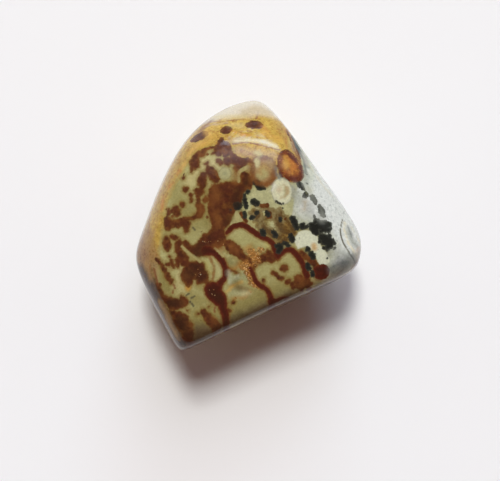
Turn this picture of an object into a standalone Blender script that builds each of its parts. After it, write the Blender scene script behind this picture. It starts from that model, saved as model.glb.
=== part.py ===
"""A tumbled porcelanite pebble, polished all over, as one closed solid.

The pebble is a blunt three-sided wedge seen from above: a straight north-east
side, a straight south side with a crisp upper edge, and a long west side that
rolls over softly. Its broad face is nearly flat and looks up. It rests on a
small flat spot underneath.

Frame: metres, +Z up, the origin under the middle of the pebble's box, at the
height of the flat spot. +Y points to the blunt tip, +X to the sharp east corner.
"""

import math

import bmesh
import bpy
import numpy as np

MM = 0.001

# The pebble is bounded by ground facets around a common centre. Each one has
# an azimuth and an elevation in degrees, a distance from the centre in
# millimetres, and a crispness: how sharply it meets its neighbours.
FACETS = {
    "crown": (-80, 87, 6.4, 20),
    "north_slope": (92, 56, 9.1, 8),
    "north_brow": (90, 10, 15.5, 10),
    "north_west_side": (132, 12, 12.0, 12),
    "west_side": (158, 8, 10.4, 14),
    "west_slope": (162, 48, 10.1, 12),
    "south_west_side": (208, 15, 12.7, 26),
    "south_side": (-65, -3, 9.45, 26),
    "south_slope": (-66, 52, 10.3, 12),
    "east_corner": (-12, 2, 12.3, 16),
    "north_east_side": (34, 2, 9.3, 20),
    "east_bevel": (28, 46, 9.0, 22),
    "foot": (0, -90, 6.7, 10),
    "west_keel": (195, -50, 8.5, 8),
    "north_keel": (100, -44, 9.4, 8),
    "east_keel": (18, -52, 8.0, 8),
    "south_keel": (-75, -50, 8.9, 9),
}

# Long shallow swells left by tumbling: the wave along X, Y and Z of the unit
# direction, its phase, and its height in millimetres.
SWELLS = (
    ((5.0, 2.0, -3.0), 0.4, 0.035),
    ((-3.0, 6.0, 4.0), 2.1, 0.030),
    ((2.0, -4.0, 7.0), 4.4, 0.025),
)

FLATTENING = 0.55  # height against width of the box that the directions start on
CUTS = 26  # cuts along each edge of that box
SOLVE_STEPS = 40
FOOT_CUT = 0.10  # millimetres ground off the underside for the flat spot

STONE_COLOUR = (0.27, 0.19, 0.09, 1.0)
STONE_ROUGHNESS = 0.12


def facet_table():
    """Each facet's normal over its distance, and each facet's crispness."""
    scaled_normals = []
    crispness = []
    for azimuth, elevation, distance, crisp in FACETS.values():
        turn = math.radians(azimuth)
        rise = math.radians(elevation)
        normal = np.array(
            [
                math.cos(turn) * math.cos(rise),
                math.sin(turn) * math.cos(rise),
                math.sin(rise),
            ]
        )
        scaled_normals.append(normal / distance)
        crispness.append(crisp)
    return np.array(scaled_normals), np.array(crispness, dtype=float)


def surface_points(directions):
    """Points of the surface along unit directions, in millimetres.

    A direction d meets facet i at reach a_i = n_i.d / h_i. The radius is 1/t,
    where t makes the sum of (a_i / t) ** crispness_i equal to one. That is a
    soft minimum of the facets' planes, found here by halving.
    """
    scaled_normals, crispness = facet_table()
    reach = np.clip(directions @ scaled_normals.T, 0.0, None)
    low = reach.max(axis=1)
    high = low * 2.0
    for _ in range(SOLVE_STEPS):
        middle = (low + high) / 2.0
        outside = ((reach / middle[:, None]) ** crispness).sum(axis=1) > 1.0
        low = np.where(outside, middle, low)
        high = np.where(outside, high, middle)
    radius = 2.0 / (low + high)
    for wave, phase, height in SWELLS:
        radius = radius + height * np.sin(directions @ np.array(wave) + phase)
    return directions * radius[:, None]


def box_directions(box):
    """A unit direction for each vertex of the box, spread evenly in angle."""
    corners = np.array([vertex.co[:] for vertex in box.verts])
    spread = np.tan(corners * math.pi / 4.0)
    spread[:, 2] *= FLATTENING
    return spread / np.linalg.norm(spread, axis=1)[:, None]


def stone_mesh():
    """The pebble's mesh: a cut-up box drawn onto the surface, with its foot ground flat."""
    pebble = bmesh.new()
    bmesh.ops.create_cube(pebble, size=2.0)
    bmesh.ops.subdivide_edges(
        pebble, edges=pebble.edges[:], cuts=CUTS, use_grid_fill=True
    )
    points = surface_points(box_directions(pebble))
    middle = (points.min(axis=0) + points.max(axis=0)) / 2.0
    foot_level = points[:, 2].min() + FOOT_CUT
    origin = np.array([middle[0], middle[1], foot_level])
    for vertex, point in zip(pebble.verts, (points - origin) * MM):
        vertex.co = point
    grind_foot(pebble)
    bmesh.ops.recalc_face_normals(pebble, faces=pebble.faces[:])
    mesh = bpy.data.meshes.new("stone")
    pebble.to_mesh(mesh)
    pebble.free()
    return mesh


def grind_foot(pebble):
    """Cuts away what lies below Z = 0 and closes the cut with one flat face."""
    cut = bmesh.ops.bisect_plane(
        pebble,
        geom=pebble.verts[:] + pebble.edges[:] + pebble.faces[:],
        dist=1e-7,
        plane_co=(0.0, 0.0, 0.0),
        plane_no=(0.0, 0.0, 1.0),
        clear_inner=True,
    )
    rim = [item for item in cut["geom_cut"] if isinstance(item, bmesh.types.BMEdge)]
    bmesh.ops.contextual_create(pebble, geom=rim)


def stone_material():
    """Polished siliceous stone, in the pebble's average colour."""
    material = bpy.data.materials.new("polished_stone")
    material.use_nodes = True
    shader = material.node_tree.nodes["Principled BSDF"]
    shader.inputs["Base Color"].default_value = STONE_COLOUR
    shader.inputs["Roughness"].default_value = STONE_ROUGHNESS
    shader.inputs["Metallic"].default_value = 0.0
    return material


def main():
    for old in list(bpy.data.objects):
        bpy.data.objects.remove(old)
    mesh = stone_mesh()
    mesh.materials.append(stone_material())
    mesh.shade_smooth()
    mesh.set_sharp_from_angle(angle=math.radians(30.0))
    stone = bpy.data.objects.new("stone", mesh)
    bpy.context.scene.collection.objects.link(stone)


main()
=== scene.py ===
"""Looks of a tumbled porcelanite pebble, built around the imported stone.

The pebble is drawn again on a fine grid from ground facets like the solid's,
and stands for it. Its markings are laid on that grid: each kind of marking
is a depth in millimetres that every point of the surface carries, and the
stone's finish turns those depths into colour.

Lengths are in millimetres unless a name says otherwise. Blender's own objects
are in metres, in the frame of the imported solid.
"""

import logging
import math
from dataclasses import dataclass
from enum import Enum
from functools import cached_property

import bmesh
import bpy
import numpy as np
from mathutils import Matrix, Vector, noise
from mathutils.bvhtree import BVHTree


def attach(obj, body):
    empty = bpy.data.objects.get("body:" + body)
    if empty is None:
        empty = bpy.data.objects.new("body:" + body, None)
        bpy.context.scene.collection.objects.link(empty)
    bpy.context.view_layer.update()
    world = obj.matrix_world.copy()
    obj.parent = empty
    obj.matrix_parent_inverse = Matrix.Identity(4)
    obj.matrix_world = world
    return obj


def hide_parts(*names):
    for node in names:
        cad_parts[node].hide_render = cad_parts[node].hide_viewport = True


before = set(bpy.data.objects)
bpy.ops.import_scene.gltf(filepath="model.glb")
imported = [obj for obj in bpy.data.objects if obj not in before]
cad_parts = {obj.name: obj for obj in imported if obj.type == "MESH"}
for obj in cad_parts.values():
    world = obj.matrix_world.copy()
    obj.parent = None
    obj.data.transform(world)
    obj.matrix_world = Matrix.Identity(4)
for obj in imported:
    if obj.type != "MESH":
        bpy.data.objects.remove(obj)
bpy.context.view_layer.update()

MM = 0.001
UNDER = "washes_below"
OVER = "washes_above"
CRYSTAL_SHARE = "crystal_share"
LOG = logging.getLogger("pebble")

Knot = tuple[float, float, float]
Run = tuple[Knot, ...]
Outline = tuple[tuple[float, float], ...]
Tone = tuple[float, float, float]
Colour = tuple[float, float, float, float]
Stop = tuple[float, Tone, float]
Fade = tuple[float, ...]
Noise = tuple[float, float]
Array = np.ndarray
Socket = bpy.types.NodeSocket


def linear(tone: Tone) -> Colour:
    """The scene-linear colour of a display tone given from 0 to 255.

    Args:
        tone: Red, green and blue as a display shows them.

    Returns:
        Red, green, blue and an alpha of one.
    """
    shares = [channel / 255.0 for channel in tone]
    curved = [
        share / 12.92 if share <= 0.04045 else ((share + 0.055) / 1.055) ** 2.4
        for share in shares
    ]
    return (curved[0], curved[1], curved[2], 1.0)


def store_numbers(mesh: bpy.types.Mesh, name: str, values: Array) -> None:
    """Writes one number for each point of a mesh.

    Args:
        mesh: The mesh.
        name: The attribute's name.
        values: The numbers.
    """
    attribute = mesh.attributes.new(name, "FLOAT", "POINT")
    attribute.data.foreach_set("value", values.astype(np.float32))


class Layer(Enum):
    """The kinds of marking, from the lowest to the topmost."""

    OCHRE = "ochre_margin"
    PINK = "pink_west_side"
    GREY = "grey_east_side"
    NET = "net_ground"
    MILK = "milky_patch"
    # Mauve-brown on the south side, darker towards the rim: partly the stone's own tone, partly painted
    # shade on the side that faces away from the light.
    MAUVE = "mauve_shaded_south_rim"
    # Dark brown on the south-west side: painted shade on the side that faces away from the light, with
    # a duller polish there.
    SHADE = "dull_shaded_south_west"
    CREAM = "cream_cell"
    GOLD = "gold_patch"
    STAIN = "rust_stain"
    BROWN = "brown_mass"
    VEILED = "veiled_orb"
    RED_ORB = "red_orb"
    CREAM_ORB = "cream_orb"
    PALE_ORB = "pale_orb"
    DRUSE = "orange_druse"
    RING = "dark_ring"
    SLIT = "cream_slit"
    BLACK = "black_dot"
    LINE = "thin_brown_line"
    HAIR = "grey_hairline"


class Tint(Enum):
    """Tones of the stone's small patches, and of the painted sheen on its polish, as a display shows
    them.
    """

    WHITE = (222, 220, 204)
    # A pale tone for painted sheen and highlights, where the polish reflects the light.
    SHEEN_WHITE = (206, 198, 182)
    STRAW = (200, 184, 132)
    IVORY = (214, 204, 168)
    PALE_CREAM = (196, 188, 140)
    CREAM = (168, 160, 108)
    LEMON = (184, 172, 98)
    OLIVE = (134, 122, 68)
    SAGE = (150, 148, 104)
    QUARTZ = (186, 190, 160)
    KHAKI = (98, 82, 56)
    DARK_OLIVE = (96, 84, 46)
    GOLD = (196, 152, 72)
    AMBER = (168, 116, 52)
    ORANGE = (186, 118, 56)
    RUST = (128, 80, 40)
    UMBER = (104, 66, 36)
    SEPIA = (58, 38, 24)
    MAROON = (84, 38, 28)
    WINE = (112, 66, 54)
    MAUVE = (128, 102, 92)
    LAVENDER = (176, 156, 150)
    PINK = (188, 150, 122)
    TAN = (176, 154, 112)
    GREY = (150, 152, 140)
    SEA_GREY = (120, 130, 124)
    SLATE = (88, 92, 90)
    TEAL = (66, 76, 72)


@dataclass(frozen=True)
class PhotoCamera:
    """The camera at the photograph's own viewing angle, in the pebble's frame."""

    distance: float = 120.0
    tilt_deg: float = 7.0
    look_at: tuple[float, float, float] = (0.18, -0.84, 0.0)
    pixels_per_mm: float = 8.87
    frame_width: int = 500
    frame_height: int = 481
    sensor_width: float = 36.0
    nearest_m: float = 0.002
    farthest_m: float = 20.0

    def axes(self) -> tuple[Array, Array, Array]:
        """The directions that the camera is set by.

        Returns:
            Its right, up and forward unit directions.
        """
        tilt = math.radians(self.tilt_deg)
        right = np.array([1.0, 0.0, 0.0])
        up = np.array([0.0, math.cos(tilt), math.sin(tilt)])
        forward = np.array([0.0, math.sin(tilt), -math.cos(tilt)])
        return right, up, forward

    def eye(self) -> Array:
        """Where the camera stands."""
        return np.array(self.look_at) - self.distance * self.axes()[2]

    def focal_pixels(self) -> float:
        """The focal length, in pixels of the photograph."""
        return self.pixels_per_mm * self.distance

    def rays(self, pixels: Array) -> tuple[Array, Array]:
        """Rays through points of the photograph.

        Args:
            pixels: One row of x and y for each point.

        Returns:
            The rays' origins and unit directions.
        """
        right, up, forward = self.axes()
        across = (pixels[:, 0] - self.frame_width / 2.0) / self.focal_pixels()
        above = (self.frame_height / 2.0 - pixels[:, 1]) / self.focal_pixels()
        heading = forward + across[:, None] * right + above[:, None] * up
        heading /= np.linalg.norm(heading, axis=1)[:, None]
        return np.broadcast_to(self.eye(), heading.shape), heading

    def project(self, points: Array) -> Array:
        """Where points of the frame fall on the photograph.

        Args:
            points: One row of x, y and z for each point.

        Returns:
            One row of pixel x and y for each point.
        """
        right, up, forward = self.axes()
        offset = points - self.eye()
        away = offset @ forward
        across = self.frame_width / 2.0 + self.focal_pixels() * (offset @ right) / away
        down = self.frame_height / 2.0 - self.focal_pixels() * (offset @ up) / away
        return np.stack([across, down], axis=1)

    def create(self) -> bpy.types.Object:
        """Makes the camera and gives it to the scene.

        Returns:
            The camera's object.
        """
        right, up, forward = self.axes()
        data = bpy.data.cameras.new("photo_camera")
        data.sensor_width = self.sensor_width
        data.lens = self.sensor_width * self.focal_pixels() / self.frame_width
        data.clip_start = self.nearest_m
        data.clip_end = self.farthest_m
        data.dof.use_dof = False
        camera = bpy.data.objects.new("photo_camera", data)
        columns = np.stack([right, up, -forward], axis=1)
        turn = Matrix([[float(value) for value in row] for row in columns])
        place = Matrix.Translation(Vector([float(value) * MM for value in self.eye()]))
        camera.matrix_world = place @ turn.to_4x4()
        bpy.context.scene.collection.objects.link(camera)
        bpy.context.scene.camera = camera
        return camera


@dataclass(frozen=True)
class PebbleForm:
    """The pebble's form: ground facets round one centre, nearly as in the solid.

    Its tip is a little narrower than the solid's and its south-west edge more
    sloping, by up to half a millimetre. Each facet has an azimuth and an
    elevation in degrees, a distance from the centre, and a crispness: how
    sharply it meets its neighbours. Each swell has a wave along the unit
    direction, a phase and a height.
    """

    facets: tuple[tuple[float, float, float, float], ...] = (
        (-80, 87, 6.4, 20),
        (92, 56, 9.1, 8),
        (97, 10, 16.3, 14),
        (131, 12, 11.6, 14),
        (158, 8, 10.2, 14),
        (162, 48, 10.1, 12),
        (208, 34, 12.9, 22),
        (208, -2, 12.75, 24),
        (-65, -3, 9.45, 26),
        (-66, 52, 10.3, 12),
        (-12, 2, 12.3, 16),
        (35, 2, 9.1, 20),
        (28, 46, 9.0, 22),
        (0, -90, 6.7, 10),
        (195, -50, 8.5, 8),
        (100, -44, 9.4, 8),
        (18, -52, 8.0, 8),
        (-75, -50, 8.9, 9),
    )
    swells: tuple[tuple[tuple[float, float, float], float, float], ...] = (
        ((5.0, 2.0, -3.0), 0.4, 0.035),
        ((-3.0, 6.0, 4.0), 2.1, 0.030),
        ((2.0, -4.0, 7.0), 4.4, 0.025),
    )
    flattening: float = 0.55
    cells_wide: int = 112
    cells_tall: int = 26
    fine_above: float = -0.12
    solve_steps: int = 30
    foot_cut: float = 0.10
    middle: tuple[float, float] = (-0.05, -0.20)

    def surface(self, directions: Array) -> Array:
        """Points of the surface along unit directions from the centre.

        A direction d meets facet i at reach a_i = n_i.d / h_i. The radius is
        1/t, where t makes the sum of (a_i / t) ** crispness_i equal to one.

        Args:
            directions: One unit vector in each row.

        Returns:
            One point in each row, from the facets' centre.
        """
        table = np.array(self.facets, dtype=float)
        turn, rise = np.radians(table[:, 0]), np.radians(table[:, 1])
        normals = np.stack(
            [np.cos(turn) * np.cos(rise), np.sin(turn) * np.cos(rise), np.sin(rise)],
            axis=1,
        )
        reach = np.clip(directions @ (normals / table[:, 2:3]).T, 1e-9, None)
        low = reach.max(axis=1)
        high = low * 2.0
        logs = np.log(reach)
        for _ in range(self.solve_steps):
            middle = (low + high) / 2.0
            terms = np.exp(table[:, 3] * (logs - np.log(middle)[:, None]))
            outside = terms.sum(axis=1) > 1.0
            low = np.where(outside, middle, low)
            high = np.where(outside, high, middle)
        radius = 2.0 / (low + high)
        for wave, phase, height in self.swells:
            radius = radius + height * np.sin(directions @ np.array(wave) + phase)
        return directions * radius[:, None]

    def grid(self) -> bmesh.types.BMesh:
        """A closed box cut into a grid, twice as fine on its upper part.

        Returns:
            The box, which the caller frees.
        """
        box = bmesh.new()
        bmesh.ops.create_cube(box, size=2.0)
        for axis in range(3):
            along = [
                edge
                for edge in box.edges
                if abs(edge.verts[0].co[axis] - edge.verts[1].co[axis]) > 1.0
            ]
            cells = self.cells_tall if axis == 2 else self.cells_wide
            bmesh.ops.subdivide_edges(
                box, edges=along, cuts=cells - 1, use_grid_fill=True
            )
        upper = [
            edge
            for edge in box.edges
            if min(vertex.co.z for vertex in edge.verts) > self.fine_above
        ]
        bmesh.ops.subdivide_edges(box, edges=upper, cuts=1, use_grid_fill=True)
        bmesh.ops.recalc_face_normals(box, faces=box.faces[:])
        return box

    def mesh(self, name: str) -> bpy.types.Mesh:
        """The pebble's mesh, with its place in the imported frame, in metres.

        Args:
            name: The mesh's name.

        Returns:
            A closed mesh with smooth faces.
        """
        box = self.grid()
        corners = np.array([vertex.co[:] for vertex in box.verts])
        mesh = bpy.data.meshes.new(name)
        box.to_mesh(mesh)
        box.free()
        spread = np.tan(corners * math.pi / 4.0)
        spread[:, 2] *= self.flattening
        points = self.surface(spread / np.linalg.norm(spread, axis=1)[:, None])
        points -= [*self.middle, points[:, 2].min() + self.foot_cut]
        points[:, 2] = np.maximum(points[:, 2], 0.0)
        mesh.vertices.foreach_set("co", (points * MM).astype(np.float32).ravel())
        mesh.shade_smooth()
        mesh.update()
        return mesh


class SurfaceMap:
    """The fine surface's points, ready to be found and measured from."""

    # A place well inside the pebble, which rays that miss it are led past.
    heart: tuple[float, float, float] = (0.0, 0.0, 6.5)

    def __init__(self, mesh: bpy.types.Mesh) -> None:
        """Reads the mesh once.

        Args:
            mesh: The pebble's mesh, in metres.
        """
        count = len(mesh.vertices)
        flat = np.empty(count * 3, np.float32)
        mesh.vertices.foreach_get("co", flat)
        self.points = flat.reshape(-1, 3).astype(float) / MM
        mesh.vertices.foreach_get("normal", flat)
        self.normals = flat.reshape(-1, 3).astype(float)
        faces = [tuple(face.vertices) for face in mesh.polygons]
        self.tree = BVHTree.FromPolygons(self.points.tolist(), faces)
        self.order = np.argsort(self.points[:, 0])
        self.sorted_points = self.points[self.order]

    def swirl(self, scale: float, seed: float = 0.0) -> Array:
        """Soft noise at every point, between about minus and plus one half.

        Args:
            scale: Cycles for each millimetre.
            seed: A shift that makes another noise.

        Returns:
            One number for each point.
        """
        places = (self.points * scale + seed).tolist()
        return np.array([noise.noise(place) for place in places])

    def hit(self, origins: Array, directions: Array) -> Array:
        """Where rays first meet the surface.

        Args:
            origins: One row for each ray.
            directions: One unit row for each ray.

        Returns:
            One point in each row; a ray that misses gives the surface's point
            nearest to its closest pass.
        """
        found = []
        for origin, heading in zip(origins, directions):
            start = Vector(origin.tolist())
            way = Vector(heading.tolist())
            place = self.tree.ray_cast(start, way)[0]
            if place is None:
                passing = start + way * (Vector(self.heart) - start).dot(way)
                place = self.tree.find_nearest(passing)[0]
            found.append(place[:])
        return np.array(found)


class DepthField:
    """How deep each point of the surface lies inside a kind of marking."""

    outside: float = -1.0
    deepest: float = 1.6

    def __init__(self, surface: SurfaceMap) -> None:
        """Starts with every point outside.

        Args:
            surface: The surface that carries the marking.
        """
        self.surface = surface
        self.depths = np.full(len(surface.points), self.outside)

    def add_balls(self, centres: Array, radii: Array, blend: float = 0.05) -> None:
        """Adds one run of overlapping balls to the marking.

        Args:
            centres: The balls' centres on the surface.
            radii: The balls' radii.
            blend: The width over which the run melts into earlier ones.
        """
        reach = float(radii.max()) - self.outside
        first, last = np.searchsorted(
            self.surface.sorted_points[:, 0],
            [centres[:, 0].min() - reach, centres[:, 0].max() + reach],
        )
        nearby = self.surface.sorted_points[first:last]
        inside = np.abs(nearby[:, 1] - (centres[:, 1].min() + centres[:, 1].max()) / 2.0)
        keep = inside < np.ptp(centres[:, 1]) / 2.0 + reach
        nearby = nearby[keep]
        best = np.full(len(nearby), self.outside)
        for centre, radius in zip(centres, radii):
            gap = nearby - centre
            far = np.sqrt(np.einsum("ij,ij->i", gap, gap))
            np.maximum(best, radius - far, out=best)
        index = self.surface.order[first:last][keep]
        before = self.depths[index]
        mix = np.clip(0.5 + (best - before) / (2.0 * blend), 0.0, 1.0)
        joined = before * (1.0 - mix) + best * mix + blend * mix * (1.0 - mix)
        self.depths[index] = np.where(best > self.outside, joined, before)

    def add_zone(self, depths: Array) -> None:
        """Adds a zone that is measured for every point at once.

        Args:
            depths: The zone's depth at each point of the surface.
        """
        self.depths = np.maximum(self.depths, depths)

    def store(self, mesh: bpy.types.Mesh, name: str) -> None:
        """Writes the marking to the mesh.

        Args:
            mesh: The pebble's mesh.
            name: The attribute's name.
        """
        store_numbers(mesh, name, np.clip(self.depths, self.outside, self.deepest))


@dataclass(frozen=True)
class Wash:
    """Patches or streaks of one tone with soft edges.

    Attributes:
        tint: The tone.
        cover: How far it hides what is below, at its core.
        feather: The width over which its edge fades, in millimetres.
        runs: Its runs, in the photograph's pixels.
    """

    tint: Tint
    cover: float
    feather: float
    runs: tuple[Run, ...]


class Glaze:
    """Washes laid one over another, as a tone and a cover at every point."""

    def __init__(self, surface: SurfaceMap, waver: Array) -> None:
        """Starts clear.

        Args:
            surface: The surface that carries the washes.
            waver: How far the washes' edges wander at each point.
        """
        self.waver = waver
        self.tones = np.zeros((len(surface.points), 3))
        self.covers = np.zeros(len(surface.points))

    def lay(self, wash: Wash, depths: Array) -> None:
        """Lays one wash over the earlier ones.

        Args:
            wash: The wash.
            depths: How deep each point lies inside it, in millimetres.
        """
        share = np.clip((depths + self.waver) / wash.feather + 0.5, 0.0, 1.0)
        share = share * share * (3.0 - 2.0 * share) * wash.cover
        below = self.covers * (1.0 - share)
        total = np.maximum(share + below, 1e-6)
        tone = np.array(linear(wash.tint.value)[:3])
        self.tones = (share[:, None] * tone + below[:, None] * self.tones) / total[:, None]
        self.covers = share + below

    def store(self, mesh: bpy.types.Mesh, name: str) -> None:
        """Writes the washes to the mesh.

        Args:
            mesh: The pebble's mesh.
            name: The attribute's name.
        """
        values = np.hstack([self.tones, self.covers[:, None]]).astype(np.float32)
        attribute = mesh.attributes.new(name, "FLOAT_COLOR", "POINT")
        attribute.data.foreach_set("color", values.ravel())


def smooth_run(knots: Run, per_unit: float) -> Array:
    """A run of marks drawn through its knots as a Catmull-Rom curve.

    Args:
        knots: The run's x, y and radius at each knot.
        per_unit: Samples for each unit of length between knots.

    Returns:
        One row of x, y and radius for each sample.
    """
    table = np.array(knots, dtype=float)
    if len(table) == 1:
        return table
    padded = np.vstack([2 * table[0] - table[1], table, 2 * table[-1] - table[-2]])
    pieces = []
    for before, start, end, after in zip(padded, padded[1:], padded[2:], padded[3:]):
        length = np.linalg.norm((end - start)[:2])
        count = max(2, int(math.ceil(length * per_unit)))
        share = np.linspace(0.0, 1.0, count, endpoint=False)[:, None]
        pieces.append(
            0.5
            * (
                2 * start
                + (end - before) * share
                + (2 * before - 5 * start + 4 * end - after) * share**2
                + (3 * start - before - 3 * end + after) * share**3
            )
        )
    pieces.append(table[-1:])
    return np.vstack(pieces)


def plan_distance(places: Array, outline: Array) -> Array:
    """Signed distance from an outline, positive inside it.

    Args:
        places: One row of x and y for each point.
        outline: The closed outline's corners.

    Returns:
        One distance for each point.
    """
    nearest = np.full(len(places), np.inf)
    inside = np.zeros(len(places), dtype=bool)
    for start, end in zip(outline, np.roll(outline, -1, axis=0)):
        along = end - start
        offset = places - start
        share = np.clip((offset @ along) / (along @ along), 0.0, 1.0)
        gap = offset - share[:, None] * along
        nearest = np.minimum(nearest, np.einsum("ij,ij->i", gap, gap))
        if start[1] == end[1]:
            continue
        crosses = (places[:, 1] < start[1]) != (places[:, 1] < end[1])
        cut = start[0] + (places[:, 1] - start[1]) * along[0] / along[1]
        inside ^= crosses & (places[:, 0] < cut)
    return np.sqrt(nearest) * np.where(inside, 1.0, -1.0)


# Marks placed on the photograph: x and y in its pixels, and for spots and runs
# a radius, in its pixels too.

# Closed outlines that run on over the sides.
ZONES: tuple[tuple[Layer, Outline], ...] = (
    (Layer.OCHRE, (
        (90, 262), (150, 262), (158, 252), (160, 240), (163, 225), (165, 208), (168, 197), (173, 186),
        (180, 176), (185, 166), (193, 155), (204, 149), (216, 146), (232, 146), (236, 158), (248, 163),
        (262, 182), (275, 186), (290, 184), (300, 170), (300, 152), (292, 132), (286, 122), (300, 60),
        (90, 60),
    )),
    (Layer.PINK, (
        (90, 225), (146, 228), (152, 240), (156, 252), (157, 262), (156, 275), (158, 290), (163, 303),
        (172, 318), (180, 338), (90, 380),
    )),
    (Layer.GREY, (
        (293, 124), (294, 145), (303, 158), (303, 176), (296, 183), (291, 200), (290, 212), (300, 222),
        (318, 232), (330, 250), (324, 262), (330, 270), (328, 284), (420, 330), (420, 60), (290, 60),
    )),
    (Layer.NET, (
        (249, 186), (262, 184), (280, 178), (296, 182), (294, 196), (292, 212), (290, 228), (280, 240),
        (268, 238), (254, 230), (247, 222), (242, 208), (244, 196),
    )),
    (Layer.MILK, (
        (294, 240), (298, 233), (306, 230), (312, 232), (318, 237), (320, 246), (326, 252), (330, 262),
        (320, 265), (316, 256), (308, 247), (298, 249),
    )),
    # The south side: partly painted shade, darker towards the rim that faces away from the light.
    (Layer.MAUVE, (
        (150, 292), (160, 306), (172, 322), (184, 336), (200, 333), (216, 329), (232, 324), (250, 315),
        (272, 304), (300, 290), (326, 278), (345, 266), (380, 256), (380, 420), (120, 420),
    )),
    # The south-west side: painted shade, darker where it faces away from the light, and duller.
    (Layer.SHADE, (
        (120, 266), (144, 268), (150, 276), (154, 287), (159, 299), (165, 311), (172, 324), (181, 339),
        (196, 350), (150, 400), (90, 340),
    )),
)

# Closed outlines that only the upper face has.
PATCHES: tuple[tuple[Layer, Outline], ...] = (
    (Layer.RED_ORB, (
        (277.6, 158.4), (280, 152.5), (283.5, 149.8), (288, 149.6), (292, 153), (297, 158.8),
        (301.5, 165), (303.8, 172), (302.8, 178.4), (298, 182), (290, 182.4), (284, 180.4),
        (279.4, 175), (277.4, 166),
    )),
    (Layer.VEILED, (
        (251, 165), (253, 158.6), (259, 156), (266, 156.4), (272, 159), (276, 164), (276.5, 171),
        (276, 178), (272, 184), (265, 186.4), (258, 184), (253, 179), (250.4, 172),
    )),
)

# Round spots.
SPOTS: tuple[tuple[Layer, Run], ...] = (
    (Layer.BROWN, (
        (226.2, 130.2, 6), (249.4, 125, 4.6), (254, 124.6, 6.2), (258.6, 125.4, 4.6), (191, 161, 2.6),
        (202.5, 154.5, 2.6), (213.5, 153, 1.7), (206.8, 163.8, 2.3), (227.5, 161.3, 4.3),
        (218, 175, 1.8), (183.3, 178, 1.7), (185.5, 189.8, 2.9), (182.3, 204.5, 2.6), (172, 211, 2.2),
        (169.5, 256.3, 1.1), (168.8, 265, 1.6), (284, 268.5, 3.7), (263.3, 280.7, 2), (288, 281.7, 2.8),
        (292, 284, 2.3), (293.5, 287, 2.4), (233, 302, 1.9), (228.5, 310.5, 2.2), (322, 272, 7.8),
        (249.5, 259.5, 2.2), (285, 219, 1.4), (302, 290, 1.6), (311, 284, 2.6), (187.3, 311, 0.8),
        (198, 314, 1.1), (209, 306.5, 0.9),
    )),
    (Layer.BLACK, (
        (237.5, 206, 4.2), (247.8, 192, 2.4), (252, 217.5, 2.7), (257, 213, 2.1), (280, 219.7, 2.3),
        (302.5, 226, 3.3), (306, 226.5, 2), (305.4, 194.8, 3.2), (306.5, 174, 1.1), (311.5, 224.5, 1.8),
        (323, 222, 2.4), (330, 225, 1.3), (330.5, 228.5, 1.3), (328, 230.5, 1.6), (321, 231, 2.6),
        (329.5, 236, 2.4), (333, 240, 1.8), (334, 243, 2.1), (320, 241, 2.2), (327.3, 249, 2.2),
        (334.5, 248.5, 1.4), (324, 248, 1.8), (307.7, 249.3, 2.7), (327, 258, 0.9), (307.2, 183.5, 0.9),
    )),
    (Layer.CREAM, ((217.5, 211, 1.3), (219.6, 211.3, 1.9), (221.3, 212.2, 1.2))),
    (Layer.PALE_ORB, ((225, 173.5, 6.6),)),
    (Layer.CREAM_ORB, ((281.6, 186.6, 9), (282.2, 191, 10.4), (282.4, 195.4, 9.4))),
)

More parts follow.
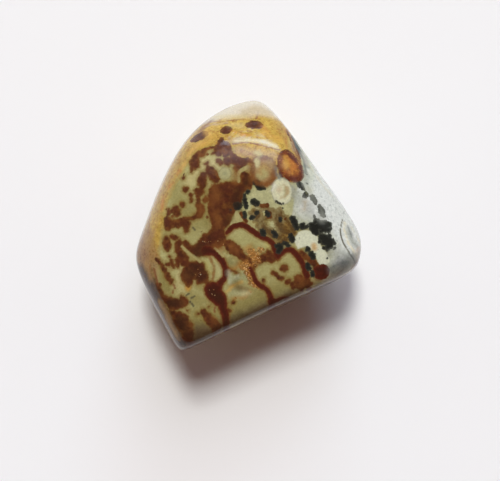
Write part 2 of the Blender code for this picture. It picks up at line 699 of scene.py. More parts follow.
# Runs of spots that melt into one another.
RUNS: tuple[tuple[Layer, tuple[Run, ...]], ...] = (
    (Layer.BROWN, (
        ((194, 138.8, 5), (198.4, 137, 7.4), (203, 134.6, 6)),
        ((222, 138.6, 1.8), (221, 142, 3.8), (224, 146, 6.4), (226, 150, 5.6), (226, 154, 3.4)),
        ((218.5, 147, 4.6), (218, 151.4, 4.4), (219.4, 154.6, 2.2)),
        ((214, 147.3, 1.8), (209, 148, 1.6), (205, 149.5, 2.2), (202.5, 152.5, 3.4)),
        ((199, 152, 2.4), (195.5, 157, 4), (194.5, 161, 5.2), (195, 165, 4.6)),
        ((193, 167, 2), (192, 170, 1.2), (191, 172, 0.8)),
        ((206.8, 164, 1.6), (208, 167, 1.8)),
        ((218.5, 160.8, 1.9), (221, 162.6, 2.1)),
        ((231, 153, 2.2), (233.4, 157, 3.2), (236.4, 160.5, 5), (240.4, 163.4, 6), (237.4, 168.6, 3.2)),
        ((243, 161.5, 3), (248, 160.5, 2.6), (251, 162, 1.6)),
        ((210, 170.5, 4.3), (212.5, 174.5, 4.8), (215.5, 179, 3.8), (217.5, 181.5, 1.6)),
        ((203.5, 175.5, 3.4), (202, 181, 4.6), (202.5, 185.5, 3.6), (201.5, 189, 2.4)),
        ((243.5, 174.5, 3.4), (245.5, 178, 5), (247, 182, 6), (249, 186, 4)),
        ((190.5, 195, 1.9), (191.3, 198, 1.4), (191.5, 201, 1.2)),
        ((198, 191.5, 3.7), (200.5, 191.5, 3.3), (203, 192, 1.8)),
        ((198, 196, 2), (198.3, 200, 1.9), (199, 205, 3), (201, 209, 3.8), (200.5, 213.5, 3.4)),
        ((175.5, 209, 3.2), (176.8, 212.5, 3.4), (177, 216, 1.6)),
        ((168.5, 209.5, 1.3), (168.7, 212, 1.9), (168.5, 214.5, 1.3)),
        ((167, 219.5, 3.4), (168, 224, 5), (168, 228, 3)),
        ((173, 223, 2.6), (177, 223.5, 4.2), (182, 222.5, 4), (186, 223.5, 4.2), (186.3, 228, 2.6),
         (186, 231.5, 1.6)),
        ((181, 219.5, 1.6), (186, 219, 1.8), (190, 218.5, 2), (195, 216.5, 2.2), (200, 214, 3)),
        ((171.5, 236.8, 2.1), (174.5, 237.3, 2.5), (176.5, 238, 1.5)),
        ((165.5, 237.5, 2.5), (166.5, 242, 3.8), (167, 246.5, 3.6), (167.5, 249.5, 1.8)),
        ((180, 240.5, 1.6), (178.5, 243.5, 3), (178, 248, 3), (180, 253, 3.4), (183, 258, 4.8),
         (184.5, 262, 4.8)),
        ((179, 257, 2.2), (178, 262, 2.6), (178.3, 266.5, 1.5)),
        ((188, 264, 2.6), (189.5, 267, 2.2)),
        ((185, 242.5, 2), (187.5, 246, 2.8), (191, 249.5, 3.2), (196, 251, 5), (199, 250, 6)),
        ((167, 264.5, 1.6), (169, 265.5, 1.1)),
        ((171.5, 261, 1.8), (172.5, 265, 1.8), (173, 267.5, 1)),
        ((156, 258.5, 1.6), (159.5, 262.5, 1.6), (163, 268, 2), (166, 273, 2), (168.5, 278, 2.2),
         (171, 281.5, 2.3)),
        ((188, 272, 6), (192.6, 268.6, 7.2), (198.6, 268, 6.6)),
        ((186.6, 276.4, 6), (188.6, 281, 4.4), (188.4, 286, 1.8)),
        ((193, 276, 4), (198, 274, 6), (202, 276.6, 6), (199, 281.5, 2.8)),
        ((204, 280, 2.5), (208, 283, 2.5), (210, 285, 3)),
        ((156.6, 284, 1.6), (160, 291, 2.6), (163, 297, 3), (167, 301, 3.6)),
        ((168, 301, 4.4), (173, 304, 5.8), (179, 303.8, 4.8), (184, 302, 4.4)),
        ((181, 297.5, 1.8), (184, 298.5, 1.6)),
        ((179, 303, 3.2), (184, 303, 3.4)),
        ((171, 313, 2.6), (176, 316, 4.4), (182, 317.4, 4.6), (185.4, 322, 4.4)),
        ((175, 320.6, 3.6), (180.6, 325, 5.8), (184, 330, 4.2)),
        ((187, 326, 2.4), (190, 324, 2.6)),
        ((203.4, 311.5, 2.6), (206.5, 316, 3.6), (210.6, 320.6, 4.4), (215, 324.6, 4.6),
         (219, 327, 3.6)),
        ((214, 190, 4.6), (220, 190, 6.4), (228, 189, 7), (236, 189, 6.6), (243, 188, 4.6)),
        ((213, 195, 5), (215, 203, 6), (214, 211, 6.2), (215.5, 219, 5.4), (218, 227, 5.6)),
        ((206, 199.5, 2.6), (204, 200, 2)),
        ((224, 198, 8), (225, 207, 9), (223.5, 216, 7), (221.5, 224, 5.6)),
        ((236, 196, 7), (234, 203, 6.6), (231, 209, 4.6), (229, 216, 3.4), (227.5, 222, 3)),
        ((218, 231, 6.2), (213, 238, 7.6), (208, 243, 7.6), (205, 249, 6.4)),
        ((205.5, 236, 2.8), (203.5, 241, 3.6), (199, 246, 3)),
        ((222, 232, 3.4), (221, 238, 5), (218, 243, 5)),
        ((241.5, 213, 1.8), (243.5, 217, 2), (246, 221, 2.2)),
        ((227, 243, 3.2), (231, 247, 5.2), (236, 250.5, 5.2), (240, 254, 4), (244, 258, 3.3),
         (246.5, 261.5, 2)),
        ((259, 260, 3.5), (263, 258, 4), (268, 258, 4.2), (272, 260.5, 2.4)),
        ((268, 252, 2.2), (273, 256, 3), (277, 258, 2.4)),
        ((250, 262, 2.4), (252, 267, 2.8), (250, 272, 2.6)),
        ((273.5, 272.5, 2), (277, 275.5, 1.8), (280, 278.5, 1.6), (283, 278, 1.8)),
        ((299, 280, 5.2), (301, 286, 4.4), (306, 281, 4.6)),
        ((286.4, 130, 1.3), (289, 136, 1.6), (291, 141, 1.2)),
        ((291.6, 136, 1.6), (294.6, 144, 2), (297.4, 151, 1.8), (300, 158, 1.3)),
        ((301, 252.5, 2.6), (307, 258, 2.4), (313, 262, 3.4), (316, 266, 2.6)),
        ((226, 267, 1.3), (230, 269.5, 1.5), (235, 271.5, 1.4), (238, 273, 1.1)),
        ((262, 205.6, 2.1), (267, 205.5, 2.3)),
        ((268.5, 213.5, 3.2), (269.5, 216, 2.8)),
    )),
    (Layer.RING, (
        ((206, 250.5, 5), (212, 251, 4.4), (216, 253.5, 3.4), (219, 257, 3.2), (222, 261, 3.2),
         (224.3, 266, 3), (225.6, 271, 2.8), (225.2, 276, 2.6), (223, 280, 2.6), (219.5, 284, 3.2)),
        ((226.5, 233, 1.6), (230, 229.5, 2.3), (233, 226.8, 2.5), (237, 225.2, 2.6), (242, 224.8, 2.7),
         (246, 226.5, 2.8), (250, 229, 2.9), (254, 231.8, 2.9), (258, 234.5, 2.8), (262, 237, 2.6),
         (268, 239.5, 2.6), (272.5, 243, 2.6), (274.5, 248, 2.8), (276, 253, 2.8), (278, 256.5, 2.4)),
        ((250.5, 268.5, 1.7), (253, 274, 2.1), (255, 279.5, 2.4), (258, 284, 2.4), (262, 286.5, 2.3),
         (266, 289, 2.3), (268.7, 292.5, 2.3), (270.5, 297, 2.6), (271.5, 302.5, 3.2)),
        ((278, 257, 2.2), (281, 254.5, 2.2), (284, 251.5, 2.4), (288, 249.6, 2.6), (292, 250.5, 2.6),
         (296, 254, 2.8), (299, 258, 2.8), (301.8, 262, 2.7), (303.5, 266, 2.6), (305, 271, 2.8),
         (307, 276, 3.2)),
        ((210, 289, 5.6), (213.4, 293, 7.6), (218.6, 298, 7.4), (222, 303, 5), (222.5, 307, 4),
         (224, 311, 3.8), (225.4, 316, 3.4), (226, 322, 3.4), (226, 327, 3.2)),
        ((213, 287, 5), (218, 287.5, 4.2)),
        ((271, 301, 3), (276, 301, 2.4), (280, 299, 1.9), (284, 297.6, 1.4), (288, 297.5, 1)),
        ((318, 270, 4.6), (324, 270, 5.4), (324, 275, 4.2), (318, 276, 3.4)),
    )),
    (Layer.BLACK, (
        ((256.5, 183, 3.4), (259.5, 187, 3.3), (264.2, 188.3, 2)),
        ((244.5, 195, 1.2), (244.9, 200, 2.3), (246, 204.5, 2.5), (246.5, 207.5, 1.5)),
        ((253.4, 201.8, 3.4), (257, 203.5, 2.7)),
        ((244.4, 212.5, 1.7), (245, 216.5, 1.8)),
        ((291.5, 217.5, 2), (294, 220.5, 3.1), (295, 224, 2.9), (296.5, 228, 2.5)),
        ((262, 230.5, 2), (263.6, 233.6, 3)),
        ((273.5, 232, 2.1), (276, 235.5, 2.7)),
        ((290.5, 236, 2.7), (292.5, 239.5, 2.8)),
        ((283.5, 243, 1.8), (287.5, 245, 2.2)),
        ((277, 246, 2.2), (280.5, 247, 3.2), (278.5, 251.5, 3)),
        ((299.4, 184, 2.6), (302, 187, 2.8), (303.6, 189.2, 1.6)),
        ((312.4, 196.6, 2.8), (314.4, 200.2, 3.2), (315.4, 203, 1.6)),
        ((320.2, 206.8, 2.6), (321.6, 210.6, 3.8), (323, 215, 3)),
        ((314.6, 216, 0.9), (314.6, 220, 1.3), (314, 223.5, 2.1)),
        ((312.6, 225.6, 3.6), (315, 229.6, 4.6), (316.6, 233, 2.8)),
        ((315, 221.6, 2.4), (319, 221.6, 2.4)),
        ((323, 230, 3), (328, 230, 3.2)),
        ((319, 226, 4.4), (325, 225.4, 5.2), (329.4, 224.6, 3.2)),
        ((321.6, 236, 3), (325.6, 240, 5.4), (330, 242.6, 4.6), (327.6, 247.4, 3)),
        ((311.5, 254, 2.6), (313.5, 257, 2.6)),
        ((307.5, 264.5, 1.8), (308.5, 267.8, 2.7)),
        ((312.5, 272, 1.6), (312.8, 275, 1.8)),
        ((275.6, 200.6, 0.9), (278.6, 202.8, 1.1), (282, 204.2, 0.9)),
        ((266.6, 212.6, 2.2), (268.6, 215, 2)),
    )),
    (Layer.STAIN, (
        ((254, 211, 3), (258, 215, 4.4), (256, 220, 3)),
        ((262, 222, 3), (265, 229, 4.4), (271, 233, 5), (279, 237, 5)),
        ((279.5, 208.5, 1.8), (281, 214, 3), (279, 221, 4.4), (281, 229, 5), (287, 232, 5)),
        ((286, 219, 3.6), (290, 226, 3.4), (294, 233, 3)),
        ((285, 240, 4.2), (281, 243, 3.6)),
        ((255, 205, 1.6), (262, 207, 1.8), (270, 210, 2.2), (277, 212.6, 2.2), (283, 216, 2.4),
         (288, 222, 2.4), (291, 229, 2.4), (290, 236, 2.6)),
        ((270, 210, 2), (268, 217, 2), (262, 221, 2.2), (258, 226, 2.2), (262, 231, 2.4),
         (268, 233, 2.2), (274, 233, 2.4), (281, 234, 2.4), (287, 238, 2.4)),
        ((277, 212.6, 2), (276, 220, 2.2), (279, 226, 2.4), (281, 234, 2.4)),
        ((250, 213, 1.6), (255, 216, 1.8), (258, 221, 1.8)),
        ((283, 216, 2), (281, 222, 2), (286, 227, 2.2), (291, 229, 2)),
        ((269, 210.6, 2), (272.6, 214, 1.8), (271.6, 218, 1.6)),
    )),
    (Layer.DRUSE, (
        ((250, 252, 2.6), (254.5, 255, 4), (257, 259, 3.4), (255, 263, 3)),
        ((246.5, 264, 3), (243.5, 267, 3), (248, 268, 2.8)),
        ((246, 272, 1.8), (249, 277, 2.2), (252, 283, 2), (256.5, 287, 1.6)),
        ((258, 251, 1.6), (262, 248.6, 1.4)),
    )),
    (Layer.SLIT, (
        ((182, 246.5, 0.9), (186, 250.5, 1.1), (191, 254.6, 1.1), (196, 258, 1.1), (200, 261.5, 1)),
        ((238.6, 181.5, 1.1), (238.2, 176, 1.2), (239.6, 172, 1.3), (243, 169.3, 1.6), (248, 167, 1.5)),
        ((215, 248.4, 0.7), (219, 251.6, 1), (223, 256, 1.1)),
    )),
    (Layer.CREAM, (
        ((236.2, 212.5, 1.4), (237.4, 217, 3), (236.5, 220.5, 3.4)),
        ((241, 219.8, 1.8), (233.5, 222.4, 1.9), (231, 225, 1.2)),
        ((249.4, 221.2, 1.6), (252.4, 224, 2.5), (256.4, 224, 2.2)),
        ((263.5, 214, 1.8), (266.5, 219, 3.2), (268, 223.6, 2.2)),
        ((252.6, 207, 1.8), (252.4, 211.4, 1.6)),
    )),
    (Layer.GOLD, (
        ((286.6, 224.8, 1.8), (286.4, 227.6, 2.2)),
        ((287.6, 231, 1), (286.6, 234.2, 1.7), (284.2, 235.4, 1.5)),
        ((188, 287.6, 1.6), (188, 289, 1)),
        ((314, 245, 1.2), (314.2, 248, 1.6)),
    )),
    (Layer.LINE, (
        ((205, 122.2, 0.9), (213, 121.6, 0.8), (221, 121.6, 0.8), (229, 120.4, 0.8), (240, 120.2, 0.8),
         (251, 119.8, 1)),
        ((256, 119, 1.2), (257.6, 115, 0.8), (259, 111, 0.8)),
        # Painted reflection: a dark line just below the pale arc, where the ridge reflects the window's
        # frame.
        ((233, 144, 0.8), (245, 142.5, 0.8), (256, 144, 0.8), (262, 145.5, 0.8), (272, 148, 0.8),
         (280, 150, 0.8)),
        ((154, 269, 0.8), (155.4, 275, 0.9), (157.4, 282, 0.9), (157.6, 286, 0.8)),
        ((150, 266, 0.8), (149, 273, 0.9), (151, 280, 0.8)),
        ((173.6, 284.5, 0.9), (175, 288, 1)),
        ((173, 290.6, 0.8), (172.8, 293, 0.9)),
        ((214.6, 307.6, 1), (214.6, 312, 0.9)),
    )),
    (Layer.HAIR, (
        ((342.4, 220, 0.8), (340.8, 227, 0.9), (340.6, 234, 0.9), (343, 242, 1), (346.4, 248, 1.1),
         (350, 254, 1.1), (353.4, 259, 1.1), (354.6, 262.6, 0.9)),
        ((186, 295.4, 0.7), (189, 293.7, 0.9)),
        ((191, 298.3, 0.9), (194.5, 296.3, 0.8)),
        ((191.8, 303.5, 0.9), (193.5, 306, 0.9)),
        ((190, 301.6, 0.9), (190, 302.4, 0.9)),
        ((193, 227.6, 0.8), (195, 230, 0.7)),
    )),
)

UNDER_WASHES: tuple[Wash, ...] = (
    Wash(Tint.OLIVE, 0.5, 1.6, (((176, 190, 8), (180, 205, 9), (190, 214, 8), (196, 226, 6)),)),
    Wash(Tint.STRAW, 0.45, 1.0, (
        ((204, 164, 5), (214, 164, 6), (206, 168, 3)), ((196, 174, 4), (190, 182, 6)),
    )),
    Wash(Tint.OLIVE, 0.8, 0.9, (((206, 191, 4), (205, 206, 3), (206, 216, 4), (207, 226, 3)),)),
    # Darker olive and khaki along the south edge: partly the stone's own tone, partly painted shade
    # where the face curves down away from the light.
    Wash(Tint.OLIVE, 0.75, 1.6, (
        ((196, 320, 9), (216, 312, 8), (240, 306, 9), (270, 292, 9), (290, 284, 6)),
    )),
    Wash(Tint.KHAKI, 0.8, 1.5, (
        ((200, 334, 7), (222, 326, 8), (246, 317, 8), (268, 307, 8), (292, 296, 7)),
    )),
    Wash(Tint.OLIVE, 0.8, 0.7, (((160, 265, 2.5), (163, 276, 4), (167, 287, 4.5), (170, 294, 3)),)),
    Wash(Tint.OLIVE, 0.7, 0.8, (
        ((190, 292, 3), (196, 300, 6), (206, 300, 4)), ((196, 286, 3), (204, 290, 2.5)),
    )),
    Wash(Tint.STRAW, 0.35, 0.9, (((182, 270, 4), (180, 284, 5), (182, 290, 3)),)),
    Wash(Tint.AMBER, 0.6, 0.8, (((246, 250, 3), (250, 248, 3)), ((241, 262, 4), (236, 267, 3)))),
    Wash(Tint.DARK_OLIVE, 0.55, 1.0, (((230, 262, 4), (238, 264, 4), (232, 268, 2)),)),
    Wash(Tint.LEMON, 0.6, 0.6, (((267, 242.5, 1.5), (268.5, 247, 2.4)),)),
    Wash(Tint.SAGE, 0.9, 0.9, (
        ((228, 274, 4.6), (236, 278, 6), (245, 276, 4.4)), ((234, 292, 4), (246, 293, 4)),
    )),
    Wash(Tint.UMBER, 0.6, 0.8, (((233, 285.6, 2), (240, 287.4, 3), (248, 288.6, 2.2)),)),
    Wash(Tint.RUST, 0.8, 0.3, (
        ((210.6, 258.6, 0.9), (213, 264, 1), (214, 270, 1.1), (213.4, 276, 1), (212, 281, 0.9)),
    )),
    Wash(Tint.LEMON, 0.45, 0.6, (((206, 264, 2), (208, 272, 2.2)),)),
    Wash(Tint.PALE_CREAM, 0.5, 0.6, (((219, 266, 1.6), (219.6, 274, 2)),)),
    # Khaki and umber along the south and south-west edges: partly the stone's own tone, partly painted
    # shade on the sides that face away from the light.
    Wash(Tint.KHAKI, 0.9, 1.2, (((186, 330, 7), (196, 330, 7), (208, 330, 6)),)),
    Wash(Tint.UMBER, 0.75, 1.0, (((158, 298, 4), (164, 310, 5), (171, 322, 6), (178, 334, 6)),)),
)

OVER_WASHES: tuple[Wash, ...] = (
    # The tip: a pale wash there is painted sheen, where the curving tip reflects the room; the ochre
    # band lies below it.
    Wash(Tint.SHEEN_WHITE, 0.9, 1.3, (
        ((205, 104, 10), (222, 102, 13), (245, 98, 16), (265, 100, 13), (280, 112, 7)),
    )),
    Wash(Tint.STRAW, 0.5, 0.8, (
        ((212, 117, 3), (228, 116, 3), (246, 116, 3)), ((232, 125, 3), (241, 124.5, 3)),
    )),
    Wash(Tint.TAN, 0.6, 1.0, (((246, 112, 6), (256, 109, 6), (268, 112, 5)),)),
    Wash(Tint.WINE, 0.7, 0.9, (((201, 130, 4.4), (205, 126, 4.2), (210, 121.6, 2.8)),)),
    Wash(Tint.MAUVE, 0.5, 0.9, (((194, 133, 2.6), (200, 126, 3), (208, 119.6, 2.4)),)),
    Wash(Tint.LAVENDER, 0.5, 0.35, (
        ((206, 126.4, 1.2), (214, 124.4, 1.2), (221, 124, 1), (228, 122, 0.8)),
    )),
    Wash(Tint.ORANGE, 0.55, 0.4, (
        ((232, 131, 1.2), (240, 134, 1.4), (250, 135, 1.2)), ((262, 126, 1.6), (268, 131, 2)),
    )),
    Wash(Tint.GOLD, 0.6, 0.7, (
        ((206, 132, 3), (212, 137, 4)), ((196, 146, 3), (205, 143, 3)), ((264, 133, 4), (278, 139, 4)),
    )),
    Wash(Tint.ORANGE, 0.5, 0.6, (
        ((179, 172, 3),), ((170, 186, 3),), ((163, 199, 2.6), (162, 208, 2.6)),
    )),
    Wash(Tint.GOLD, 0.7, 0.5, (((188, 155, 1.6), (192, 150, 2.4)), ((186, 163, 1.8), (182, 167, 1.6)))),
    # The west edge.
    Wash(Tint.WINE, 0.55, 0.8, (
        ((150, 208, 2.4), (149, 220, 3), (148, 232, 3)), ((155, 196, 2), (157, 190, 2)),
    )),
    # Painted reflection: a lavender veil below the tip, where the slope reflects the window; then the
    # veiled orb.
    Wash(Tint.LAVENDER, 0.35, 0.9, (((240, 150, 5), (256, 154, 5.5), (272, 156, 4.5)),)),
    Wash(Tint.PALE_CREAM, 0.75, 0.5, (((256.5, 152.6, 2.4), (261, 154, 2)),)),
    Wash(Tint.PALE_CREAM, 0.9, 0.4, (((256.6, 161.6, 2.2), (257.4, 165.4, 2.6), (256.6, 168, 1.4)),)),
    Wash(Tint.CREAM, 0.75, 0.5, (
        ((263, 171, 2.2), (265.6, 174, 2.6), (262, 177.4, 2.4), (257.6, 176, 1.8)),
    )),
    Wash(Tint.TAN, 0.5, 0.6, (((270, 163, 3.6), (273, 169, 2.6)),)),
    Wash(Tint.RUST, 0.7, 0.5, (
        ((251, 160.4, 1.8), (250, 166, 2), (250.6, 172, 2.2), (253.4, 178, 2.4), (258, 183, 2.4),
         (266, 184.6, 2)),
    )),
    Wash(Tint.SEA_GREY, 0.9, 0.5, (((275.6, 169.5, 1.8), (276.6, 174, 2.2), (279, 178, 1.8)),)),
    # The red orb.
    Wash(Tint.RUST, 0.7, 0.5, (((280.6, 155, 1.8), (279.8, 161, 2.2), (280.4, 168, 2)),)),
    Wash(Tint.GOLD, 0.85, 0.6, (((285, 158, 2), (286.4, 163, 3), (286.8, 167.4, 2.2)),)),
    Wash(Tint.ORANGE, 0.6, 0.7, (((291, 161, 2.2), (294.6, 166, 2.8), (292, 169, 2.6)),)),
    Wash(Tint.MAROON, 0.85, 0.4, (((288.6, 153.6, 1.2), (292.4, 157.6, 2), (296, 161.4, 1.5)),)),
    Wash(Tint.MAROON, 0.7, 0.7, (
        ((286.6, 177, 2.4), (294, 178.6, 3), (300, 175.6, 2.4), (300.6, 169, 1.6)),
    )),
    # The veins and the teal edge beside the tip.
    Wash(Tint.AMBER, 0.7, 0.4, (((285.4, 129, 1.2), (286.2, 138, 1.2), (287, 147, 1.4)),)),
    Wash(Tint.LEMON, 0.6, 0.4, (((288.6, 138, 1), (289.4, 148, 1.2)),)),
    Wash(Tint.RUST, 0.85, 0.45, (
        ((288, 131, 1.2), (291.4, 139, 1.8), (293.6, 147, 2), (297, 155, 2.2), (300, 161, 1.8)),
    )),
    Wash(Tint.SEA_GREY, 0.8, 0.6, (
        ((293, 137, 1.6), (298, 147, 3), (304, 157, 3.4), (307.6, 166, 2.6)),
    )),
    Wash(Tint.TEAL, 0.95, 0.4, (
        ((293, 138, 1.8), (297, 146, 2.6), (301.6, 155, 2.8), (304.6, 163, 2.4), (305.6, 171, 1.8)),
    )),
    Wash(Tint.GREY, 0.6, 0.8, (
        ((305, 168, 2.4), (306.6, 176, 3), (305, 184, 3)), ((294, 186, 3), (295, 197, 3)),
    )),
    # The cream orb.
    Wash(Tint.OLIVE, 0.6, 0.4, (((286, 188, 1.6), (286.6, 193, 1.8), (284.6, 197, 1.4)),)),
    Wash(Tint.TAN, 0.8, 0.35, (
        ((284, 184.4, 1), (287, 187.6, 1.4), (287.6, 192, 1.5), (285.4, 196.4, 1.3), (281, 198, 0.9)),
    )),
    Wash(Tint.PINK, 0.4, 0.5, (((279, 189.6, 2.8),),)),
    Wash(Tint.WHITE, 0.6, 0.5, (((274.6, 185.6, 2.2), (272.6, 190, 1.4)),)),
    Wash(Tint.GREY, 0.6, 0.35, (((288, 182, 0.8), (292, 187, 1), (293.4, 193, 1), (292, 199, 0.9)),)),
    # The grey east side.
    Wash(Tint.GREY, 0.5, 0.9, (
        ((302, 200, 4), (308, 208, 5), (312, 216, 3)), ((318, 214, 3), (322, 220, 3)),
    )),
    Wash(Tint.TAN, 0.5, 0.6, (((305, 202, 1.8), (304.4, 209, 2.2)),)),
    # Painted highlight: a pale streak along the north-east edge.
    Wash(Tint.STRAW, 0.4, 0.6, (((309, 165, 0.9), (322, 184, 0.9), (333, 197, 0.9)),)),
    # The clear quartz patch.
    Wash(Tint.QUARTZ, 0.45, 0.5, (
        ((228.6, 272, 1.8), (230.6, 277, 2.4), (230, 282, 1.4)), ((233.4, 278.6, 1.5), (238, 275.6, 1)),
    )),
    Wash(Tint.GOLD, 0.6, 0.45, (
        ((226.6, 291.6, 0.9), (230.6, 288, 1.3), (236, 284.4, 1.2), (242, 282, 1)),
    )),
    Wash(Tint.AMBER, 0.55, 0.6, (
        ((240, 264, 1.8), (236, 268, 1.6), (231, 269.4, 1)),
        ((250, 291, 1.4), (244, 297, 1.6), (234, 298, 1.2)),
    )),
    Wash(Tint.PALE_CREAM, 0.6, 0.5, (((236, 292.4, 1.5), (243, 293.6, 2), (249.6, 292.6, 1.5)),)),
    # The banded eye at the east corner.
    Wash(Tint.GREY, 0.85, 0.8, (((347, 228, 2), (349.6, 234, 3.6), (353, 242, 4), (358, 247, 3)),)),
    Wash(Tint.IVORY, 0.85, 0.35, (
        ((344.6, 223, 1.3), (344.4, 230, 1.3), (346, 237, 1.5), (349.4, 244.4, 1.6), (354, 251, 1.8)),
    )),
    Wash(Tint.IVORY, 0.7, 0.35, (((352, 228, 0.9), (356, 235, 1.1), (360, 243, 1.2)),)),
    Wash(Tint.SLATE, 0.75, 0.35, (((348.8, 228, 1.3), (350.6, 232.4, 1.7), (351.8, 237.4, 1.2)),)),
    Wash(Tint.PINK, 0.6, 0.4, (((356.6, 250.6, 1.8), (359, 247, 1.3)),)),
    # The south rim, from the east, and the south-west edge: the darker slate and sepia washes there are
    # partly the stone's own tone and partly painted shade, where the rim curves away from the light.
    Wash(Tint.GREY, 0.7, 1.0, (((331, 254, 3), (339, 252, 4), (346, 255, 4)),)),
    Wash(Tint.SLATE, 0.85, 1.1, (((331, 268, 3), (338, 264, 4.4), (346, 261, 4.4), (353, 256, 3)),)),
    Wash(Tint.SLATE, 0.6, 0.7, (((334, 272, 4), (344, 268, 4), (354, 262, 3)),)),
    Wash(Tint.SEPIA, 0.62, 1.0, (
        ((186, 334, 5), (205, 334, 5), (230, 323, 5), (255, 312.6, 5), (270, 305.6, 4.6), (290, 295, 4),
         (306, 287, 3)),
    )),
    Wash(Tint.SEPIA, 0.5, 0.8, (((188, 343, 4), (204, 340, 4), (222, 332, 4)),)),
    Wash(Tint.GREY, 0.5, 0.8, (((334, 280, 3), (342, 275, 3.4), (350, 268, 3)),)),
    Wash(Tint.SEPIA, 0.5, 0.8, (((156, 288, 3), (160, 300, 3.4), (166, 312, 3.6), (174, 325, 4)),)),
    # Paler and darker places in the brown masses.
    Wash(Tint.RUST, 0.6, 0.9, (
        ((214, 189, 4), (217, 197, 5)), ((216, 214, 4), (218, 223, 4)), ((212, 205, 2.4),),
    )),
    Wash(Tint.SEPIA, 0.6, 0.9, (
        ((238, 191, 4), (236.6, 198, 5), (233, 205, 3.6)), ((229, 217, 2.6), (226, 225, 2.6)),
    )),
    Wash(Tint.SEPIA, 0.6, 0.8, (
        ((199, 246, 3), (197, 253, 3.4), (202, 254, 2.6)), ((247, 180, 3), (246, 184, 2.4)),
    )),
    Wash(Tint.SEPIA, 0.55, 0.6, (
        ((178, 320, 3), (182, 325, 4)), ((173, 303, 4),), ((213, 293, 4), (218, 297, 4)),
    )),
    Wash(Tint.RUST, 0.6, 0.7, (((235.5, 171, 2.6), (235.5, 177, 3.2), (235, 182, 3.4)),)),
    Wash(Tint.RUST, 0.6, 0.7, (
        ((203, 155, 2.4), (208, 149.6, 1.6)), ((200, 206, 2.4), (200.6, 212, 2.6)), ((186, 276, 3),),
    )),
    Wash(Tint.RUST, 0.55, 0.6, (
        ((217, 246, 4), (222, 249, 3)), ((231, 247, 2.6), (237, 251, 2.6)), ((206, 199.5, 2.4),),
    )),
    Wash(Tint.RUST, 0.6, 0.6, (
        ((299, 278, 3), (303, 284, 3)), ((213, 318, 2.4), (216, 324, 2.4)), ((183, 303, 3),),
    )),
    Wash(Tint.SEPIA, 0.6, 0.7, (((172, 303, 5), (180, 303, 4)), ((180, 318, 4.4), (182, 326, 5)))),
    Wash(Tint.SEPIA, 0.5, 0.7, (((188, 276, 5), (197, 269, 6), (201, 276, 5)),)),
    # The south-west side, and single places.
    Wash(Tint.GOLD, 0.42, 0.8, (
        ((146, 266, 4), (150, 277, 4.4)),
        ((160, 303, 3.6), (165, 312, 4.4), (170, 324, 4.4), (176, 335, 4)),
    )),
    Wash(Tint.DARK_OLIVE, 0.5, 0.7, (((236, 281, 2.6), (238, 290, 2.8)),)),
    Wash(Tint.UMBER, 0.6, 0.7, (((258, 264, 2.4),),)),
    Wash(Tint.SAGE, 0.45, 0.7, (((310, 190, 4.4),),)),
    # Painted sheen at the top of the north-east edge.
    Wash(Tint.SHEEN_WHITE, 0.5, 0.7, (((303, 155, 3.2), (306, 163, 3.4)),)),
    Wash(Tint.RUST, 0.7, 0.6, (((274, 171, 2.4), (273.4, 178, 3), (268, 183.6, 2.6)),)),
    # Painted highlight: the pale arc where the ridge below the tip reflects the bright strip.
    Wash(Tint.IVORY, 0.6, 0.6, (
        ((236, 140.6, 1.8), (246, 140, 2.2), (257, 140.8, 2.6), (268, 143.4, 2.6), (276, 146.4, 1.8)),
    )),
    Wash(Tint.SHEEN_WHITE, 0.5, 0.5, (((262, 141.6, 1.6), (270, 144.6, 1.6)),)),
    Wash(Tint.GREY, 0.42, 0.6, (
        ((312.4, 196.6, 3), (315, 202, 3)), ((320.2, 206.8, 3), (323, 215, 3.4)),
    )),
)

# Where a few crystals stand apart from the druse, and how densely beside it.
SPARSE_CRYSTALS: Run = (
    (213.6, 293, 5), (197, 272, 5), (207, 242, 5), (222, 241, 4), (266, 285, 2.4),
    (236, 282, 3), (249, 292, 3),
)
SPARSE_SHARE = 0.22


@dataclass(frozen=True)
class Cluster:
    """A kind of wandering cluster on the sides that the photograph hides.

    Attributes:
        layer: The marking that it belongs to.
        count: How many clusters there are.
        steps: The fewest and the most balls in one cluster.
        radius: The least and the greatest radius of a ball, in millimetres.
        wander: How sharply a cluster turns from ball to ball.
        side: Minus one for the west, one for the east, nought for both.
    """

    layer: Layer
    count: int
    steps: tuple[int, int]
    radius: tuple[float, float]
    wander: float = 0.8
    side: int = 0


FAR_CLUSTERS: tuple[Cluster, ...] = (
    Cluster(Layer.BROWN, 6, (7, 14), (0.6, 1.25)),
    Cluster(Layer.BROWN, 44, (2, 7), (0.16, 0.6), side=-1),
    Cluster(Layer.RING, 7, (14, 26), (0.2, 0.34), wander=0.35),
    Cluster(Layer.BLACK, 34, (1, 6), (0.12, 0.45), side=1),
    Cluster(Layer.GOLD, 8, (2, 4), (0.12, 0.3)),
)


@dataclass(frozen=True)
class RunOver:
    """A marking that reaches an edge in the photograph and goes on down the side.

    Attributes:
        layer: The marking that it belongs to.
        start: Where it reaches the edge, in the photograph's pixels.
        radius: Its radius there, in millimetres.
        steps: How many balls it goes on for.
    """

    layer: Layer
    start: tuple[float, float]
    radius: float
    steps: int


RUN_OVERS: tuple[RunOver, ...] = (
    RunOver(Layer.RING, (226, 329), 0.40, 15),
    RunOver(Layer.RING, (271.6, 307), 0.44, 20),
    RunOver(Layer.BROWN, (216, 330), 0.42, 12),
    RunOver(Layer.BROWN, (188, 334), 0.62, 10),
    RunOver(Layer.BROWN, (308, 286), 0.34, 8),
    RunOver(Layer.BROWN, (286, 300), 0.24, 14),
)


